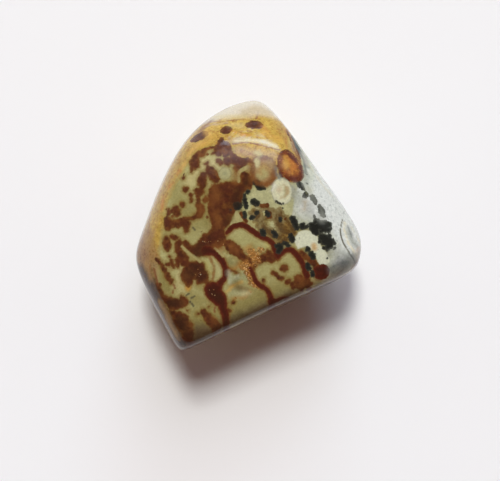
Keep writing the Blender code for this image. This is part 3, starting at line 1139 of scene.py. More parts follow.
@dataclass(frozen=True)
class FarSides:
    """Marks for the sides that the photograph hides, of the same kinds as the seen ones.

    Attributes:
        clusters: The kinds of cluster.
        run_overs: The markings that run on over an edge.
        seed: What the chance numbers start from.
        hidden_below: Where the normal turns this far from the camera, clusters start.
        seen_above: Where the normal rises above this, a cluster ends.
        anywhere: The same for a marking that runs on over an edge: it never ends.
        stride: The step from ball to ball, in radii.
        tail_share: A run-over's radius at its end, against its start.
        tail_wander: How sharply a run-over turns from ball to ball.
        downwards: The way that a run-over sets out.
    """

    clusters: tuple[Cluster, ...] = FAR_CLUSTERS
    run_overs: tuple[RunOver, ...] = RUN_OVERS
    seed: int = 23
    hidden_below: float = -0.03
    seen_above: float = -0.03
    anywhere: float = 1.0
    stride: float = 1.3
    tail_share: float = 0.6
    tail_wander: float = 0.22
    downwards: tuple[float, float, float] = (0.0, 0.0, -2.0)

    def lay(
        self, fields: dict[Layer, DepthField], surface: SurfaceMap, camera: PhotoCamera
    ) -> None:
        """Lays the clusters, and the markings that run on over an edge.

        Args:
            fields: The markings that they belong to.
            surface: The pebble's surface.
            camera: The camera, which these marks keep away from.
        """
        chance = np.random.default_rng(self.seed)
        towards_camera = -camera.axes()[2]
        hidden = surface.points[surface.normals @ towards_camera < self.hidden_below]
        for over in self.run_overs:
            start = surface.hit(*camera.rays(np.array([over.start])))[0]
            radii = over.radius * np.linspace(1.0, self.tail_share, over.steps)
            balls = self.walk(
                chance,
                surface,
                Vector(start.tolist()),
                Vector(self.downwards),
                radii,
                self.tail_wander,
                self.anywhere,
            )
            fields[over.layer].add_balls(*balls)
        for cluster in self.clusters:
            side = hidden[hidden[:, 0] * cluster.side >= 0.0]
            for _ in range(cluster.count):
                start = Vector(side[chance.integers(len(side))].tolist())
                heading = Vector(chance.normal(size=3).tolist())
                steps = int(chance.integers(cluster.steps[0], cluster.steps[1] + 1))
                radii = chance.uniform(*cluster.radius, size=steps)
                balls = self.walk(
                    chance, surface, start, heading, radii, cluster.wander, self.seen_above
                )
                fields[cluster.layer].add_balls(*balls)

    def walk(
        self,
        chance: np.random.Generator,
        surface: SurfaceMap,
        start: Vector,
        heading: Vector,
        radii: Array,
        wander: float,
        highest: float,
    ) -> tuple[Array, Array]:
        """A row of balls, each beside the last.

        Args:
            chance: The source of chance numbers.
            surface: The pebble's surface.
            start: The first ball's centre.
            heading: The way that it sets out; the longer, the steadier.
            radii: The balls' radii, in millimetres.
            wander: How sharply it turns from ball to ball.
            highest: Where the surface's normal rises above this, the row ends.

        Returns:
            The balls' centres and their radii.
        """
        place = start
        centres = []
        for radius in radii:
            centres.append(place[:])
            turn = Vector(chance.normal(size=3).tolist()) * wander
            heading = heading.normalized() + turn
            step = heading.normalized() * float(radius) * self.stride
            place, normal = surface.tree.find_nearest(place + step)[:2]
            if normal.z > highest:
                break
        return np.array(centres), radii[: len(centres)]


@dataclass(frozen=True)
class Flecks:
    """A second tone that shows in patches inside a marking.

    Attributes:
        tone: The patches' tone.
        scale: Patches for each millimetre.
        start: The noise value at which a patch starts.
        full: The noise value from which it covers as far as it may.
        cover: How far it covers there.
    """

    tone: Tone
    scale: float
    start: float
    full: float
    cover: float


@dataclass(frozen=True)
class Finish:
    """How a kind of marking looks, from beyond its edge to its core.

    Attributes:
        stops: The depth in millimetres, the tone there and how far it covers.
        halo: The same for a stain round it, which lies under every marking.
        spatter: The widest radius in millimetres of the small dots round it, or 0.
        drift: How far slow swirls move the edge.
        beads: How far small round beads move the edge.
        ragged: How far fine grain moves the edge.
        mottle: The share by which the tone varies from place to place.
        flecks: Other tones that show in patches inside it.
    """

    stops: tuple[Stop, ...]
    halo: tuple[Stop, ...] = ()
    spatter: float = 0.0
    drift: float = 0.0
    beads: float = 0.0
    ragged: float = 0.0
    mottle: float = 0.2
    flecks: tuple[Flecks, ...] = ()


FINISHES: dict[Layer, Finish] = {
    Layer.OCHRE: Finish(
        ((-0.45, (160, 146, 86), 0.0), (-0.10, (168, 140, 66), 0.55), (0.25, (172, 139, 62), 0.95),
         (1.0, (174, 141, 64), 1.0), (1.6, (188, 156, 72), 1.0)),
        drift=0.35, beads=0.1, ragged=0.15, mottle=0.35,
        flecks=(Flecks((146, 88, 36), 2.6, 0.50, 0.68, 0.6),
                Flecks((196, 166, 86), 1.4, 0.52, 0.70, 0.5),
                Flecks((126, 78, 44), 4.2, 0.56, 0.70, 0.5)),
    ),
    Layer.PINK: Finish(
        ((-0.5, (160, 130, 90), 0.0), (0.2, (148, 116, 78), 0.7), (1.2, (146, 110, 66), 1.0)),
        drift=0.35, ragged=0.2, mottle=0.3,
        flecks=(Flecks((170, 134, 84), 2.6, 0.52, 0.70, 0.5),
                Flecks((112, 74, 48), 2.2, 0.54, 0.68, 0.6),
                Flecks((96, 58, 36), 4.4, 0.56, 0.68, 0.6)),
    ),
    Layer.GREY: Finish(
        ((-0.6, (178, 178, 146), 0.0), (0.05, (176, 180, 156), 0.8), (0.8, (190, 193, 176), 1.0),
         (1.6, (202, 204, 196), 1.0)),
        drift=0.3, ragged=0.2, mottle=0.2,
        flecks=(Flecks((138, 144, 136), 3.4, 0.56, 0.7, 0.55),
                Flecks((218, 219, 210), 1.6, 0.54, 0.7, 0.5)),
    ),
    Layer.NET: Finish(
        ((-0.2, (160, 155, 108), 0.0), (0.1, (168, 165, 112), 0.8), (0.8, (180, 178, 132), 0.9)),
        drift=0.2, ragged=0.12, mottle=0.3,
    ),
    Layer.MILK: Finish(
        ((-0.12, (190, 190, 155), 0.0), (0.08, (206, 208, 180), 0.95), (0.8, (208, 210, 182), 1.0)),
        drift=0.15, ragged=0.08, mottle=0.08,
    ),
    # Tones that darken towards the south rim: partly painted shade.
    Layer.MAUVE: Finish(
        ((-0.9, (140, 125, 88), 0.0), (0.0, (118, 98, 68), 0.6), (0.8, (92, 68, 52), 0.9),
         (1.6, (88, 62, 54), 1.0)),
        drift=0.3, ragged=0.1, mottle=0.25,
        flecks=(Flecks((146, 132, 88), 0.34, 0.52, 0.66, 0.55),
                Flecks((66, 42, 30), 0.8, 0.54, 0.68, 0.55)),
    ),
    # Dark tones of painted shade on the south-west side.
    Layer.SHADE: Finish(
        ((-0.65, (122, 92, 54), 0.0), (-0.25, (92, 64, 38), 0.85), (0.1, (64, 42, 26), 1.0),
         (1.6, (84, 60, 44), 1.0)),
        drift=0.35, ragged=0.2, mottle=0.3,
        flecks=(Flecks((120, 92, 60), 1.6, 0.54, 0.68, 0.5),
                Flecks((52, 34, 22), 3.0, 0.54, 0.68, 0.5)),
    ),
    Layer.CREAM: Finish(
        ((-0.06, (160, 152, 100), 0.0), (0.04, (166, 158, 106), 1.0)),
        ragged=0.06,
    ),
    Layer.GOLD: Finish(
        ((-0.35, (190, 140, 60), 0.0), (0.1, (192, 142, 62), 0.7), (0.4, (198, 146, 66), 0.9)),
        drift=0.1, ragged=0.12,
    ),
    Layer.STAIN: Finish(
        ((-0.26, (140, 124, 66), 0.0), (0.0, (114, 88, 42), 0.75), (0.3, (90, 64, 32), 0.95)),
        drift=0.15, beads=0.2, ragged=0.15, mottle=0.4,
        flecks=(Flecks((64, 46, 28), 2.2, 0.54, 0.68, 0.7),),
    ),
    Layer.BROWN: Finish(
        ((-0.06, (106, 68, 34), 0.0), (0.00, (102, 62, 31), 0.9), (0.12, (92, 51, 28), 1.0),
         (0.45, (84, 44, 28), 1.0), (1.4, (82, 46, 28), 1.0)),
        halo=((-0.40, (142, 126, 66), 0.0), (-0.18, (130, 104, 50), 0.5), (-0.03, (112, 76, 38), 0.9)),
        spatter=0.22, drift=0.08, beads=0.2, ragged=0.08, mottle=0.3,
        flecks=(Flecks((118, 76, 36), 1.1, 0.50, 0.70, 0.6),
                Flecks((58, 34, 24), 1.7, 0.52, 0.72, 0.65)),
    ),
    Layer.VEILED: Finish(
        ((-0.16, (126, 92, 58), 0.0), (0.02, (108, 70, 44), 0.85), (0.30, (122, 84, 54), 0.95),
         (0.65, (158, 126, 82), 1.0), (1.3, (174, 148, 94), 1.0)),
        drift=0.16, beads=0.16, ragged=0.14, mottle=0.4,
        flecks=(Flecks((142, 108, 74), 2.4, 0.5, 0.68, 0.7),),
    ),
    Layer.RED_ORB: Finish(
        ((-0.10, (104, 66, 40), 0.0), (0.0, (92, 48, 30), 0.95), (0.16, (96, 46, 28), 1.0),
         (0.36, (114, 58, 32), 1.0), (0.65, (146, 84, 40), 1.0), (1.2, (164, 106, 48), 1.0)),
        drift=0.1, beads=0.08, ragged=0.1, mottle=0.4,
        flecks=(Flecks((184, 130, 58), 3.2, 0.54, 0.66, 0.6),
                Flecks((88, 42, 24), 2.6, 0.54, 0.68, 0.6)),
    ),
    Layer.CREAM_ORB: Finish(
        ((-0.10, (150, 148, 122), 0.0), (0.0, (170, 168, 138), 0.9), (0.12, (204, 202, 168), 1.0),
         (0.5, (208, 206, 170), 1.0), (1.2, (204, 200, 160), 1.0)),
        drift=0.08, ragged=0.08, mottle=0.2,
    ),
    Layer.PALE_ORB: Finish(
        ((-0.04, (160, 152, 104), 0.0), (0.02, (150, 142, 96), 1.0), (0.2, (166, 160, 114), 1.0),
         (0.7, (150, 148, 108), 1.0)),
        ragged=0.04,
    ),
    Layer.DRUSE: Finish(
        ((-0.25, (140, 100, 50), 0.0), (0.0, (138, 92, 44), 0.8), (0.4, (148, 100, 48), 0.95)),
        drift=0.12, beads=0.3, ragged=0.25, mottle=0.6,
        flecks=(Flecks((212, 152, 80), 4.6, 0.54, 0.64, 0.85),
                Flecks((88, 52, 30), 3.2, 0.54, 0.66, 0.7)),
    ),
    Layer.RING: Finish(
        ((-0.05, (102, 56, 30), 0.0), (0.02, (94, 44, 26), 0.95), (0.14, (82, 36, 24), 1.0),
         (0.4, (68, 32, 22), 1.0)),
        halo=((-0.30, (140, 114, 58), 0.0), (-0.12, (124, 84, 40), 0.55), (0.0, (110, 66, 34), 0.9)),
        beads=0.1, ragged=0.05, mottle=0.25,
    ),
    Layer.SLIT: Finish(
        ((-0.12, (150, 128, 76), 0.0), (0.04, (164, 152, 98), 0.9)),
        ragged=0.1,
    ),
    Layer.BLACK: Finish(
        ((-0.10, (62, 62, 50), 0.0), (-0.01, (48, 49, 41), 0.95), (0.2, (34, 36, 31), 1.0)),
        halo=((-0.30, (112, 110, 76), 0.0), (-0.14, (88, 88, 64), 0.5), (0.0, (70, 70, 52), 0.85)),
        spatter=0.16, beads=0.16, ragged=0.16, mottle=0.3,
    ),
    Layer.LINE: Finish(
        ((-0.10, (150, 104, 58), 0.0), (0.04, (124, 72, 46), 0.75)),
        drift=0.06, ragged=0.1,
    ),
    Layer.HAIR: Finish(
        ((-0.08, (110, 104, 76), 0.0), (0.03, (84, 78, 58), 0.85)),
        ragged=0.06,
    ),
}


class NodeSheet:
    """A short way to write a node tree, one call for each node."""

    def __init__(self, tree: bpy.types.NodeTree) -> None:
        """Clears the tree.

        Args:
            tree: The tree to write.
        """
        self.tree = tree
        self.tree.nodes.clear()

    @cached_property
    def place(self) -> Socket:
        """The place on the object, in millimetres."""
        return self.scaled(self.add("ShaderNodeTexCoord").outputs["Object"], 1.0 / MM)

    def add(
        self, kind: str, feeds: dict[str | int, object] | None = None, **settings: object
    ) -> bpy.types.Node:
        """Adds one node.

        Args:
            kind: Blender's name of the node's type.
            feeds: What its inputs get, by their name or number.
            settings: Properties to set on it.

        Returns:
            The new node.
        """
        node = self.tree.nodes.new(kind)
        for name, value in settings.items():
            setattr(node, name, value)
        for name, value in (feeds or {}).items():
            self.feed(node.inputs[name], value)
        return node

    def feed(self, socket: Socket, value: object) -> None:
        """Links a socket to another one, or sets its own value.

        Args:
            socket: The input to feed.
            value: An output socket, a number or a colour.
        """
        if isinstance(value, Socket):
            self.tree.links.new(value, socket)
        else:
            socket.default_value = value

    def math(self, operation: str, first: object, second: object = 0.0) -> Socket:
        """One step of arithmetic.

        Args:
            operation: Blender's name of the operation.
            first: The first number or socket.
            second: The second number or socket.

        Returns:
            The result's socket.
        """
        return self.add("ShaderNodeMath", {0: first, 1: second}, operation=operation).outputs[0]

    def product(self, *factors: Socket) -> Socket:
        """All the numbers multiplied together.

        Args:
            factors: The numbers' sockets.

        Returns:
            The product's socket.
        """
        result = factors[0]
        for factor in factors[1:]:
            result = self.math("MULTIPLY", result, factor)
        return result

    def spread(
        self, value: object, low: float, high: float, to_low: float = 0.0, to_high: float = 1.0
    ) -> Socket:
        """Maps a range of numbers onto another, and stops at its ends.

        Args:
            value: The number or socket to map.
            low: Where the range starts.
            high: Where the range ends.
            to_low: The result at the start.
            to_high: The result at the end.

        Returns:
            The result's socket.
        """
        feeds = dict(enumerate((value, low, high, to_low, to_high)))
        return self.add("ShaderNodeMapRange", feeds, clamp=True).outputs[0]

    def blend(self, share: object, lower: object, upper: object) -> Socket:
        """Lays one colour over another.

        Args:
            share: How far the upper colour covers.
            lower: The colour below.
            upper: The colour above.

        Returns:
            The blended colour's socket.
        """
        feeds = {"Factor": share, 6: lower, 7: upper}
        return self.add("ShaderNodeMix", feeds, data_type="RGBA").outputs[2]

    def scaled(self, colour: object, amount: object) -> Socket:
        """A colour made lighter or darker.

        Args:
            colour: The colour.
            amount: What to multiply it by.

        Returns:
            The result's socket.
        """
        feeds = {0: colour, "Scale": amount}
        return self.add("ShaderNodeVectorMath", feeds, operation="SCALE").outputs[0]

    def noise(self, scale: float, detail: float = 2.0) -> Socket:
        """Soft noise around one half.

        Args:
            scale: Cycles for each millimetre.
            detail: How many finer octaves it has.

        Returns:
            The noise's socket.
        """
        feeds = {"Vector": self.place, "Scale": scale, "Detail": detail}
        return self.add("ShaderNodeTexNoise", feeds).outputs[0]

    def swing(self, scale: float, detail: float) -> Socket:
        """Soft noise around nought, between minus and plus one half.

        Args:
            scale: Cycles for each millimetre.
            detail: How many finer octaves it has.

        Returns:
            The noise's socket.
        """
        return self.math("SUBTRACT", self.noise(scale, detail), 0.5)

    def cells(self, scale: float) -> bpy.types.Node:
        """Scattered round cells.

        Args:
            scale: Cells for each millimetre.

        Returns:
            Their node, with the distance from the nearest centre, in cell
            widths, and a colour drawn at random for each cell.
        """
        return self.add("ShaderNodeTexVoronoi", {"Vector": self.place, "Scale": scale})


@dataclass(frozen=True)
class PolishedStone:
    """The stone's finish: its markings' colours under a high natural polish.

    A noise is its cycles for each millimetre and its finer octaves. A fade is
    the values between which it sets in, and its strength at each of them.
    """

    # The plain ground: clouds of cream on olive, and shaded patches.
    cream: Tone = (170, 164, 110)
    olive: Tone = (156, 148, 94)
    shade: Tone = (136, 124, 70)
    cloud_noise: Noise = (0.45, 4.0)
    cloud_fade: Fade = (0.38, 0.62)
    patch_noise: Noise = (1.1, 3.0)
    patch_fade: Fade = (0.55, 0.75, 0.0, 0.6)
    # What moves a marking's edge, and what makes it lighter and darker inside.
    drift_noise: Noise = (0.8, 2.0)
    bead_scale: float = 2.6
    bead_reach: float = 0.42
    ragged_noise: Noise = (6.0, 3.0)
    mottle_noise: Noise = (2.2, 4.0)
    # Small dots round a marking. Empty places lie that far below the surface, and
    # a dot's depth is at most that share of the marking's own depth and a lead.
    dots_per_mm: float = 1.7
    empty_share: float = 0.55
    empty_mm: float = 0.6
    depth_share: float = 0.5
    dot_lead: float = 0.17
    # Fine grain in every colour, and the polish, duller on the two rough layers.
    grain: float = 0.28
    grain_noise: Noise = (5.5, 3.0)
    refraction: float = 1.40
    gloss_noise: Noise = (1.5, 3.0)
    gloss_fade: Fade = (0.4, 0.7, 0.05, 0.13)
    dull_fade: Fade = (-0.4, 0.8, 0.0, 0.16)
    ripple_m: float = 0.00003
    ripple_noise: Noise = (1.4, 3.0)

    def ground(self, sheet: NodeSheet) -> Socket:
        """The plain cream and olive stone between the markings.

        Args:
            sheet: The node tree's sheet.

        Returns:
            The colour's socket.
        """
        clouds = sheet.spread(sheet.noise(*self.cloud_noise), *self.cloud_fade)
        soft = sheet.blend(clouds, linear(self.olive), linear(self.cream))
        patches = sheet.spread(sheet.noise(*self.patch_noise), *self.patch_fade)
        return sheet.blend(patches, soft, linear(self.shade))

    def spattered(self, sheet: NodeSheet, depth: Socket, widest: float) -> Socket:
        """Scatters small round dots near a marking, fewer and smaller further out.

        Args:
            sheet: The node tree's sheet.
            depth: The marking's depth, in millimetres.
            widest: The widest dot's radius, in millimetres.

        Returns:
            The depth, raised where a dot lies.
        """
        cells = sheet.cells(self.dots_per_mm)
        chance = sheet.add("ShaderNodeSeparateColor", {0: cells.outputs["Color"]})
        radius = sheet.spread(chance.outputs[0], self.empty_share, 1.0, -self.empty_mm, widest)
        away = sheet.math("DIVIDE", cells.outputs["Distance"], self.dots_per_mm)
        dot = sheet.math("SUBTRACT", radius, away)
        near = sheet.math("MULTIPLY", depth, self.depth_share)
        near = sheet.math("ADD", near, self.dot_lead)
        return sheet.math("MAXIMUM", depth, sheet.math("MINIMUM", dot, near))

    def ramp(self, sheet: NodeSheet, stops: tuple[Stop, ...], depth: Socket) -> bpy.types.Node:
        """A colour ramp over a marking's depth.

        Args:
            sheet: The node tree's sheet.
            stops: The depths, with the tone and the cover at each.
            depth: The marking's depth, in millimetres.

        Returns:
            The ramp's node, with colour and cover.
        """
        lowest, highest = DepthField.outside, DepthField.deepest
        node = sheet.add("ShaderNodeValToRGB", {0: sheet.spread(depth, lowest, highest)})
        ramp = node.color_ramp
        ramp.interpolation = "EASE"
        while len(ramp.elements) < len(stops):
            ramp.elements.new(1.0)
        for element, (depth_mm, tone, cover) in zip(ramp.elements, stops):
            element.position = (depth_mm - lowest) / (highest - lowest)
            element.color = linear(tone)[:3] + (cover,)
        return node

    def washed(self, sheet: NodeSheet, colour: Socket, name: str) -> Socket:
        """Lays stored washes over a colour.

        Args:
            sheet: The node tree's sheet.
            colour: The colour below.
            name: The washes' attribute.

        Returns:
            The washed colour's socket.
        """
        wash = sheet.add("ShaderNodeAttribute", attribute_name=name)
        return sheet.blend(wash.outputs["Alpha"], colour, wash.outputs["Color"])

    def varied(self, sheet: NodeSheet, colour: Socket, swing: Socket, amount: float) -> Socket:
        """Makes a colour lighter and darker from place to place.

        Args:
            sheet: The node tree's sheet.
            colour: The colour.
            swing: Noise around nought.
            amount: The share by which it varies.

        Returns:
            The varied colour's socket.
        """
        vary = sheet.math("ADD", 1.0, sheet.math("MULTIPLY", swing, amount * 2.0))
        return sheet.scaled(colour, vary)

    def build(self) -> bpy.types.Material:
        """Makes the finish from the ground upwards.

        Returns:
            The stone's material.
        """
        material = bpy.data.materials.new("polished_porcelanite")
        material.use_nodes = True
        sheet = NodeSheet(material.node_tree)
        drift = sheet.swing(*self.drift_noise)
        bead_distance = sheet.cells(self.bead_scale).outputs["Distance"]
        beads = sheet.math("SUBTRACT", self.bead_reach, bead_distance)
        ragged = sheet.swing(*self.ragged_noise)
        mottle = sheet.swing(*self.mottle_noise)

        colour = self.washed(sheet, self.ground(sheet), UNDER)
        depths = {}
        for layer, finish in FINISHES.items():
            depth = sheet.add("ShaderNodeAttribute", attribute_name=layer.value).outputs["Fac"]
            for swing, amount in (
                (drift, finish.drift * 2.0),
                (beads, finish.beads),
                (ragged, finish.ragged * 2.0),
            ):
                if amount:
                    depth = sheet.math("ADD", depth, sheet.math("MULTIPLY", swing, amount))
            depths[layer] = depth
        for layer, finish in FINISHES.items():
            if finish.halo:
                halo = self.ramp(sheet, finish.halo, depths[layer])
                colour = sheet.blend(halo.outputs["Alpha"], colour, halo.outputs["Color"])
        for layer, finish in FINISHES.items():
            depth = depths[layer]
            if finish.spatter:
                depth = self.spattered(sheet, depth, finish.spatter)
            ramp = self.ramp(sheet, finish.stops, depth)
            tone = ramp.outputs["Color"]
            for flecks in finish.flecks:
                patches = sheet.noise(flecks.scale)
                share = sheet.spread(patches, flecks.start, flecks.full, 0.0, flecks.cover)
                tone = sheet.blend(share, tone, linear(flecks.tone))
            tone = self.varied(sheet, tone, mottle, finish.mottle)
            colour = sheet.blend(ramp.outputs["Alpha"], colour, tone)
        colour = self.washed(sheet, colour, OVER)
        grain = sheet.swing(*self.grain_noise)
        colour = self.varied(sheet, colour, grain, self.grain)

        rough = sheet.spread(sheet.noise(*self.gloss_noise), *self.gloss_fade)
        for layer in (Layer.SHADE, Layer.MAUVE):
            rough = sheet.math("MAXIMUM", rough, sheet.spread(depths[layer], *self.dull_fade))
        ripple = sheet.noise(*self.ripple_noise)
        feeds = {"Strength": 1.0, "Distance": self.ripple_m, "Height": ripple}
        bump = sheet.add("ShaderNodeBump", feeds).outputs[0]
        feeds = {
            "Base Color": colour, "IOR": self.refraction, "Roughness": rough, "Normal": bump
        }
        shader = sheet.add("ShaderNodeBsdfPrincipled", feeds)
        sheet.add("ShaderNodeOutputMaterial", {"Surface": shader.outputs[0]})
        return material


@dataclass(frozen=True)
class QuartzGlints:
    """Tiny crystals that catch the light in the druse, set on the stone by nodes.

    Attributes:
        name: The piece's name.
        per_mm2: Crystals for each square millimetre of the druse.
        smallest_mm: The smallest crystal's width.
        largest_mm: The largest crystal's width.
        tilt: How far a crystal leans at most, in radians.
        seed: What the chance numbers start from.
        sides: A crystal's sides.
        top_share: Its top's width, against its foot's.
        height_share: Its height, against its foot's width.
        sunk_share: The share of its height that is sunk in the stone.
        colour: Its deeper tone.
        pale: Its paler tone.
        tone_noise: Where it is paler, as in the stone's finish.
        tone_fade: Where it turns pale, as in the stone's finish.
        roughness: How rough its faces are.
        refraction: The index of refraction of quartz.
    """

    name: str = "quartz_glints"
    per_mm2: float = 30.0
    smallest_mm: float = 0.05
    largest_mm: float = 0.13
    tilt: float = 0.65
    seed: int = 11
    sides: int = 6
    top_share: float = 0.55
    height_share: float = 0.8
    sunk_share: float = 0.66
    colour: Tone = (176, 118, 60)
    pale: Tone = (226, 196, 140)
    tone_noise: Noise = (5.0, 1.0)
    tone_fade: Fade = (0.4, 0.62)
    roughness: float = 0.12
    refraction: float = 1.54

    def bed(self, mesh: bpy.types.Mesh) -> bpy.types.Mesh:
        """The faces of the stone that carry crystals.

        Args:
            mesh: The pebble's mesh, with its share of crystals.

        Returns:
            A mesh of those faces alone, with the same share.
        """
        share = np.empty(len(mesh.vertices), np.float32)
        mesh.attributes[CRYSTAL_SHARE].data.foreach_get("value", share)
        faces = [face.vertices[:] for face in mesh.polygons if share[face.vertices[0]] > 0.0]
        used = sorted({index for face in faces for index in face})
        place = {index: row for row, index in enumerate(used)}
        bed = bpy.data.meshes.new(self.name)
        corners = [mesh.vertices[index].co[:] for index in used]
        bed.from_pydata(corners, [], [tuple(place[index] for index in face) for face in faces])
        store_numbers(bed, CRYSTAL_SHARE, share[used])
        return bed

    def tree(self) -> bpy.types.GeometryNodeTree:
        """Nodes that stand tilted crystals on a surface, sunk into it.

        Returns:
            The tree, with named inputs for the crystals' sizes.
        """
        tree = bpy.data.node_groups.new("crystals_on_a_surface", "GeometryNodeTree")
        make = tree.interface.new_socket
        make("Surface", in_out="INPUT", socket_type="NodeSocketGeometry")
        for name in ("Crystals per square metre", "Smallest", "Largest", "Tilt"):
            make(name, in_out="INPUT", socket_type="NodeSocketFloat")
        make("Seed", in_out="INPUT", socket_type="NodeSocketInt")
        make("Material", in_out="INPUT", socket_type="NodeSocketMaterial")
        make("Crystals", in_out="OUTPUT", socket_type="NodeSocketGeometry")
        sheet = NodeSheet(tree)
        given = sheet.add("NodeGroupInput").outputs
        share = sheet.add(
            "GeometryNodeInputNamedAttribute", {"Name": CRYSTAL_SHARE}, data_type="FLOAT"
        )
        density = sheet.product(given["Crystals per square metre"], share.outputs[0])
        spread = sheet.add(
            "GeometryNodeDistributePointsOnFaces",
            {"Mesh": given["Surface"], "Density": density, "Seed": given["Seed"]},
        )
        crystal = sheet.add(
            "GeometryNodeMeshCone",
            {
                "Vertices": self.sides,
                "Radius Top": self.top_share / 2.0,
                "Radius Bottom": 0.5,
                "Depth": self.height_share,
            },
        )
        sunk = (0.0, 0.0, -self.height_share * self.sunk_share)
        crystal = sheet.add(
            "GeometryNodeTransform", {"Geometry": crystal.outputs["Mesh"], "Translation": sunk}
        )
        most = given["Tilt"]
        least = sheet.math("MULTIPLY", most, -1.0)
        most = sheet.add("ShaderNodeCombineXYZ", {"X": most, "Y": most, "Z": math.tau})
        least = sheet.add("ShaderNodeCombineXYZ", {"X": least, "Y": least})
        tilt = sheet.add(
            "FunctionNodeRandomValue",
            {"Min": least.outputs[0], "Max": most.outputs[0], "Seed": given["Seed"]},
            data_type="FLOAT_VECTOR",
        )
        turned = sheet.add(
            "FunctionNodeRotateRotation",
            {"Rotation": spread.outputs["Rotation"], "Rotate By": tilt.outputs[0]},
            rotation_space="LOCAL",
        )
        size = sheet.add("FunctionNodeRandomValue", {"Seed": given["Seed"]}, data_type="FLOAT")
        sizes = [socket for socket in size.inputs if socket.type == "VALUE"]
        sheet.feed(sizes[0], given["Smallest"])
        sheet.feed(sizes[1], given["Largest"])
        grown = [socket for socket in size.outputs if socket.type == "VALUE"][0]
        placed = sheet.add(
            "GeometryNodeInstanceOnPoints",
            {
                "Points": spread.outputs["Points"],
                "Instance": crystal.outputs[0],
                "Rotation": turned.outputs[0],
                "Scale": grown,
            },
        )
        real = sheet.add("GeometryNodeRealizeInstances", {"Geometry": placed.outputs[0]})
        finished = sheet.add(
            "GeometryNodeSetMaterial",
            {"Geometry": real.outputs[0], "Material": given["Material"]},
        )
        sheet.add("NodeGroupOutput", {0: finished.outputs[0]})
        return tree

    def material(self) -> bpy.types.Material:
        """Clear amber quartz, paler from crystal to crystal.

        Returns:
            The crystals' material.
        """
        material = bpy.data.materials.new("amber_quartz")
        material.use_nodes = True
        sheet = NodeSheet(material.node_tree)
        share = sheet.spread(sheet.noise(*self.tone_noise), *self.tone_fade)
        colour = sheet.blend(share, linear(self.colour), linear(self.pale))
        feeds = {"Base Color": colour, "Roughness": self.roughness, "IOR": self.refraction}
        shader = sheet.add("ShaderNodeBsdfPrincipled", feeds)
        sheet.add("ShaderNodeOutputMaterial", {"Surface": shader.outputs[0]})
        return material

    def build(self, mesh: bpy.types.Mesh) -> bpy.types.Object:
        """Makes the crystals as one plain mesh that rides with the stone.

        Args:
            mesh: The pebble's mesh, with its share of crystals.

        Returns:
            The crystals' object.
        """
        glints = bpy.data.objects.new(self.name, self.bed(mesh))
        bpy.context.scene.collection.objects.link(glints)
        modifier = glints.modifiers.new("crystals", "NODES")
        modifier.node_group = self.tree()
        values = {
            "Crystals per square metre": self.per_mm2 / MM**2,
            "Smallest": self.smallest_mm * MM,
            "Largest": self.largest_mm * MM,
            "Tilt": self.tilt,
            "Seed": self.seed,
            "Material": self.material(),
        }
        for item in modifier.node_group.interface.items_tree:
            if item.name in values:
                modifier[item.identifier] = values[item.name]
        evaluated = glints.evaluated_get(bpy.context.evaluated_depsgraph_get())
        glints.data = bpy.data.meshes.new_from_object(evaluated)
        glints.data.name = self.name
        glints.modifiers.clear()
        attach(glints, "root")
        return glints


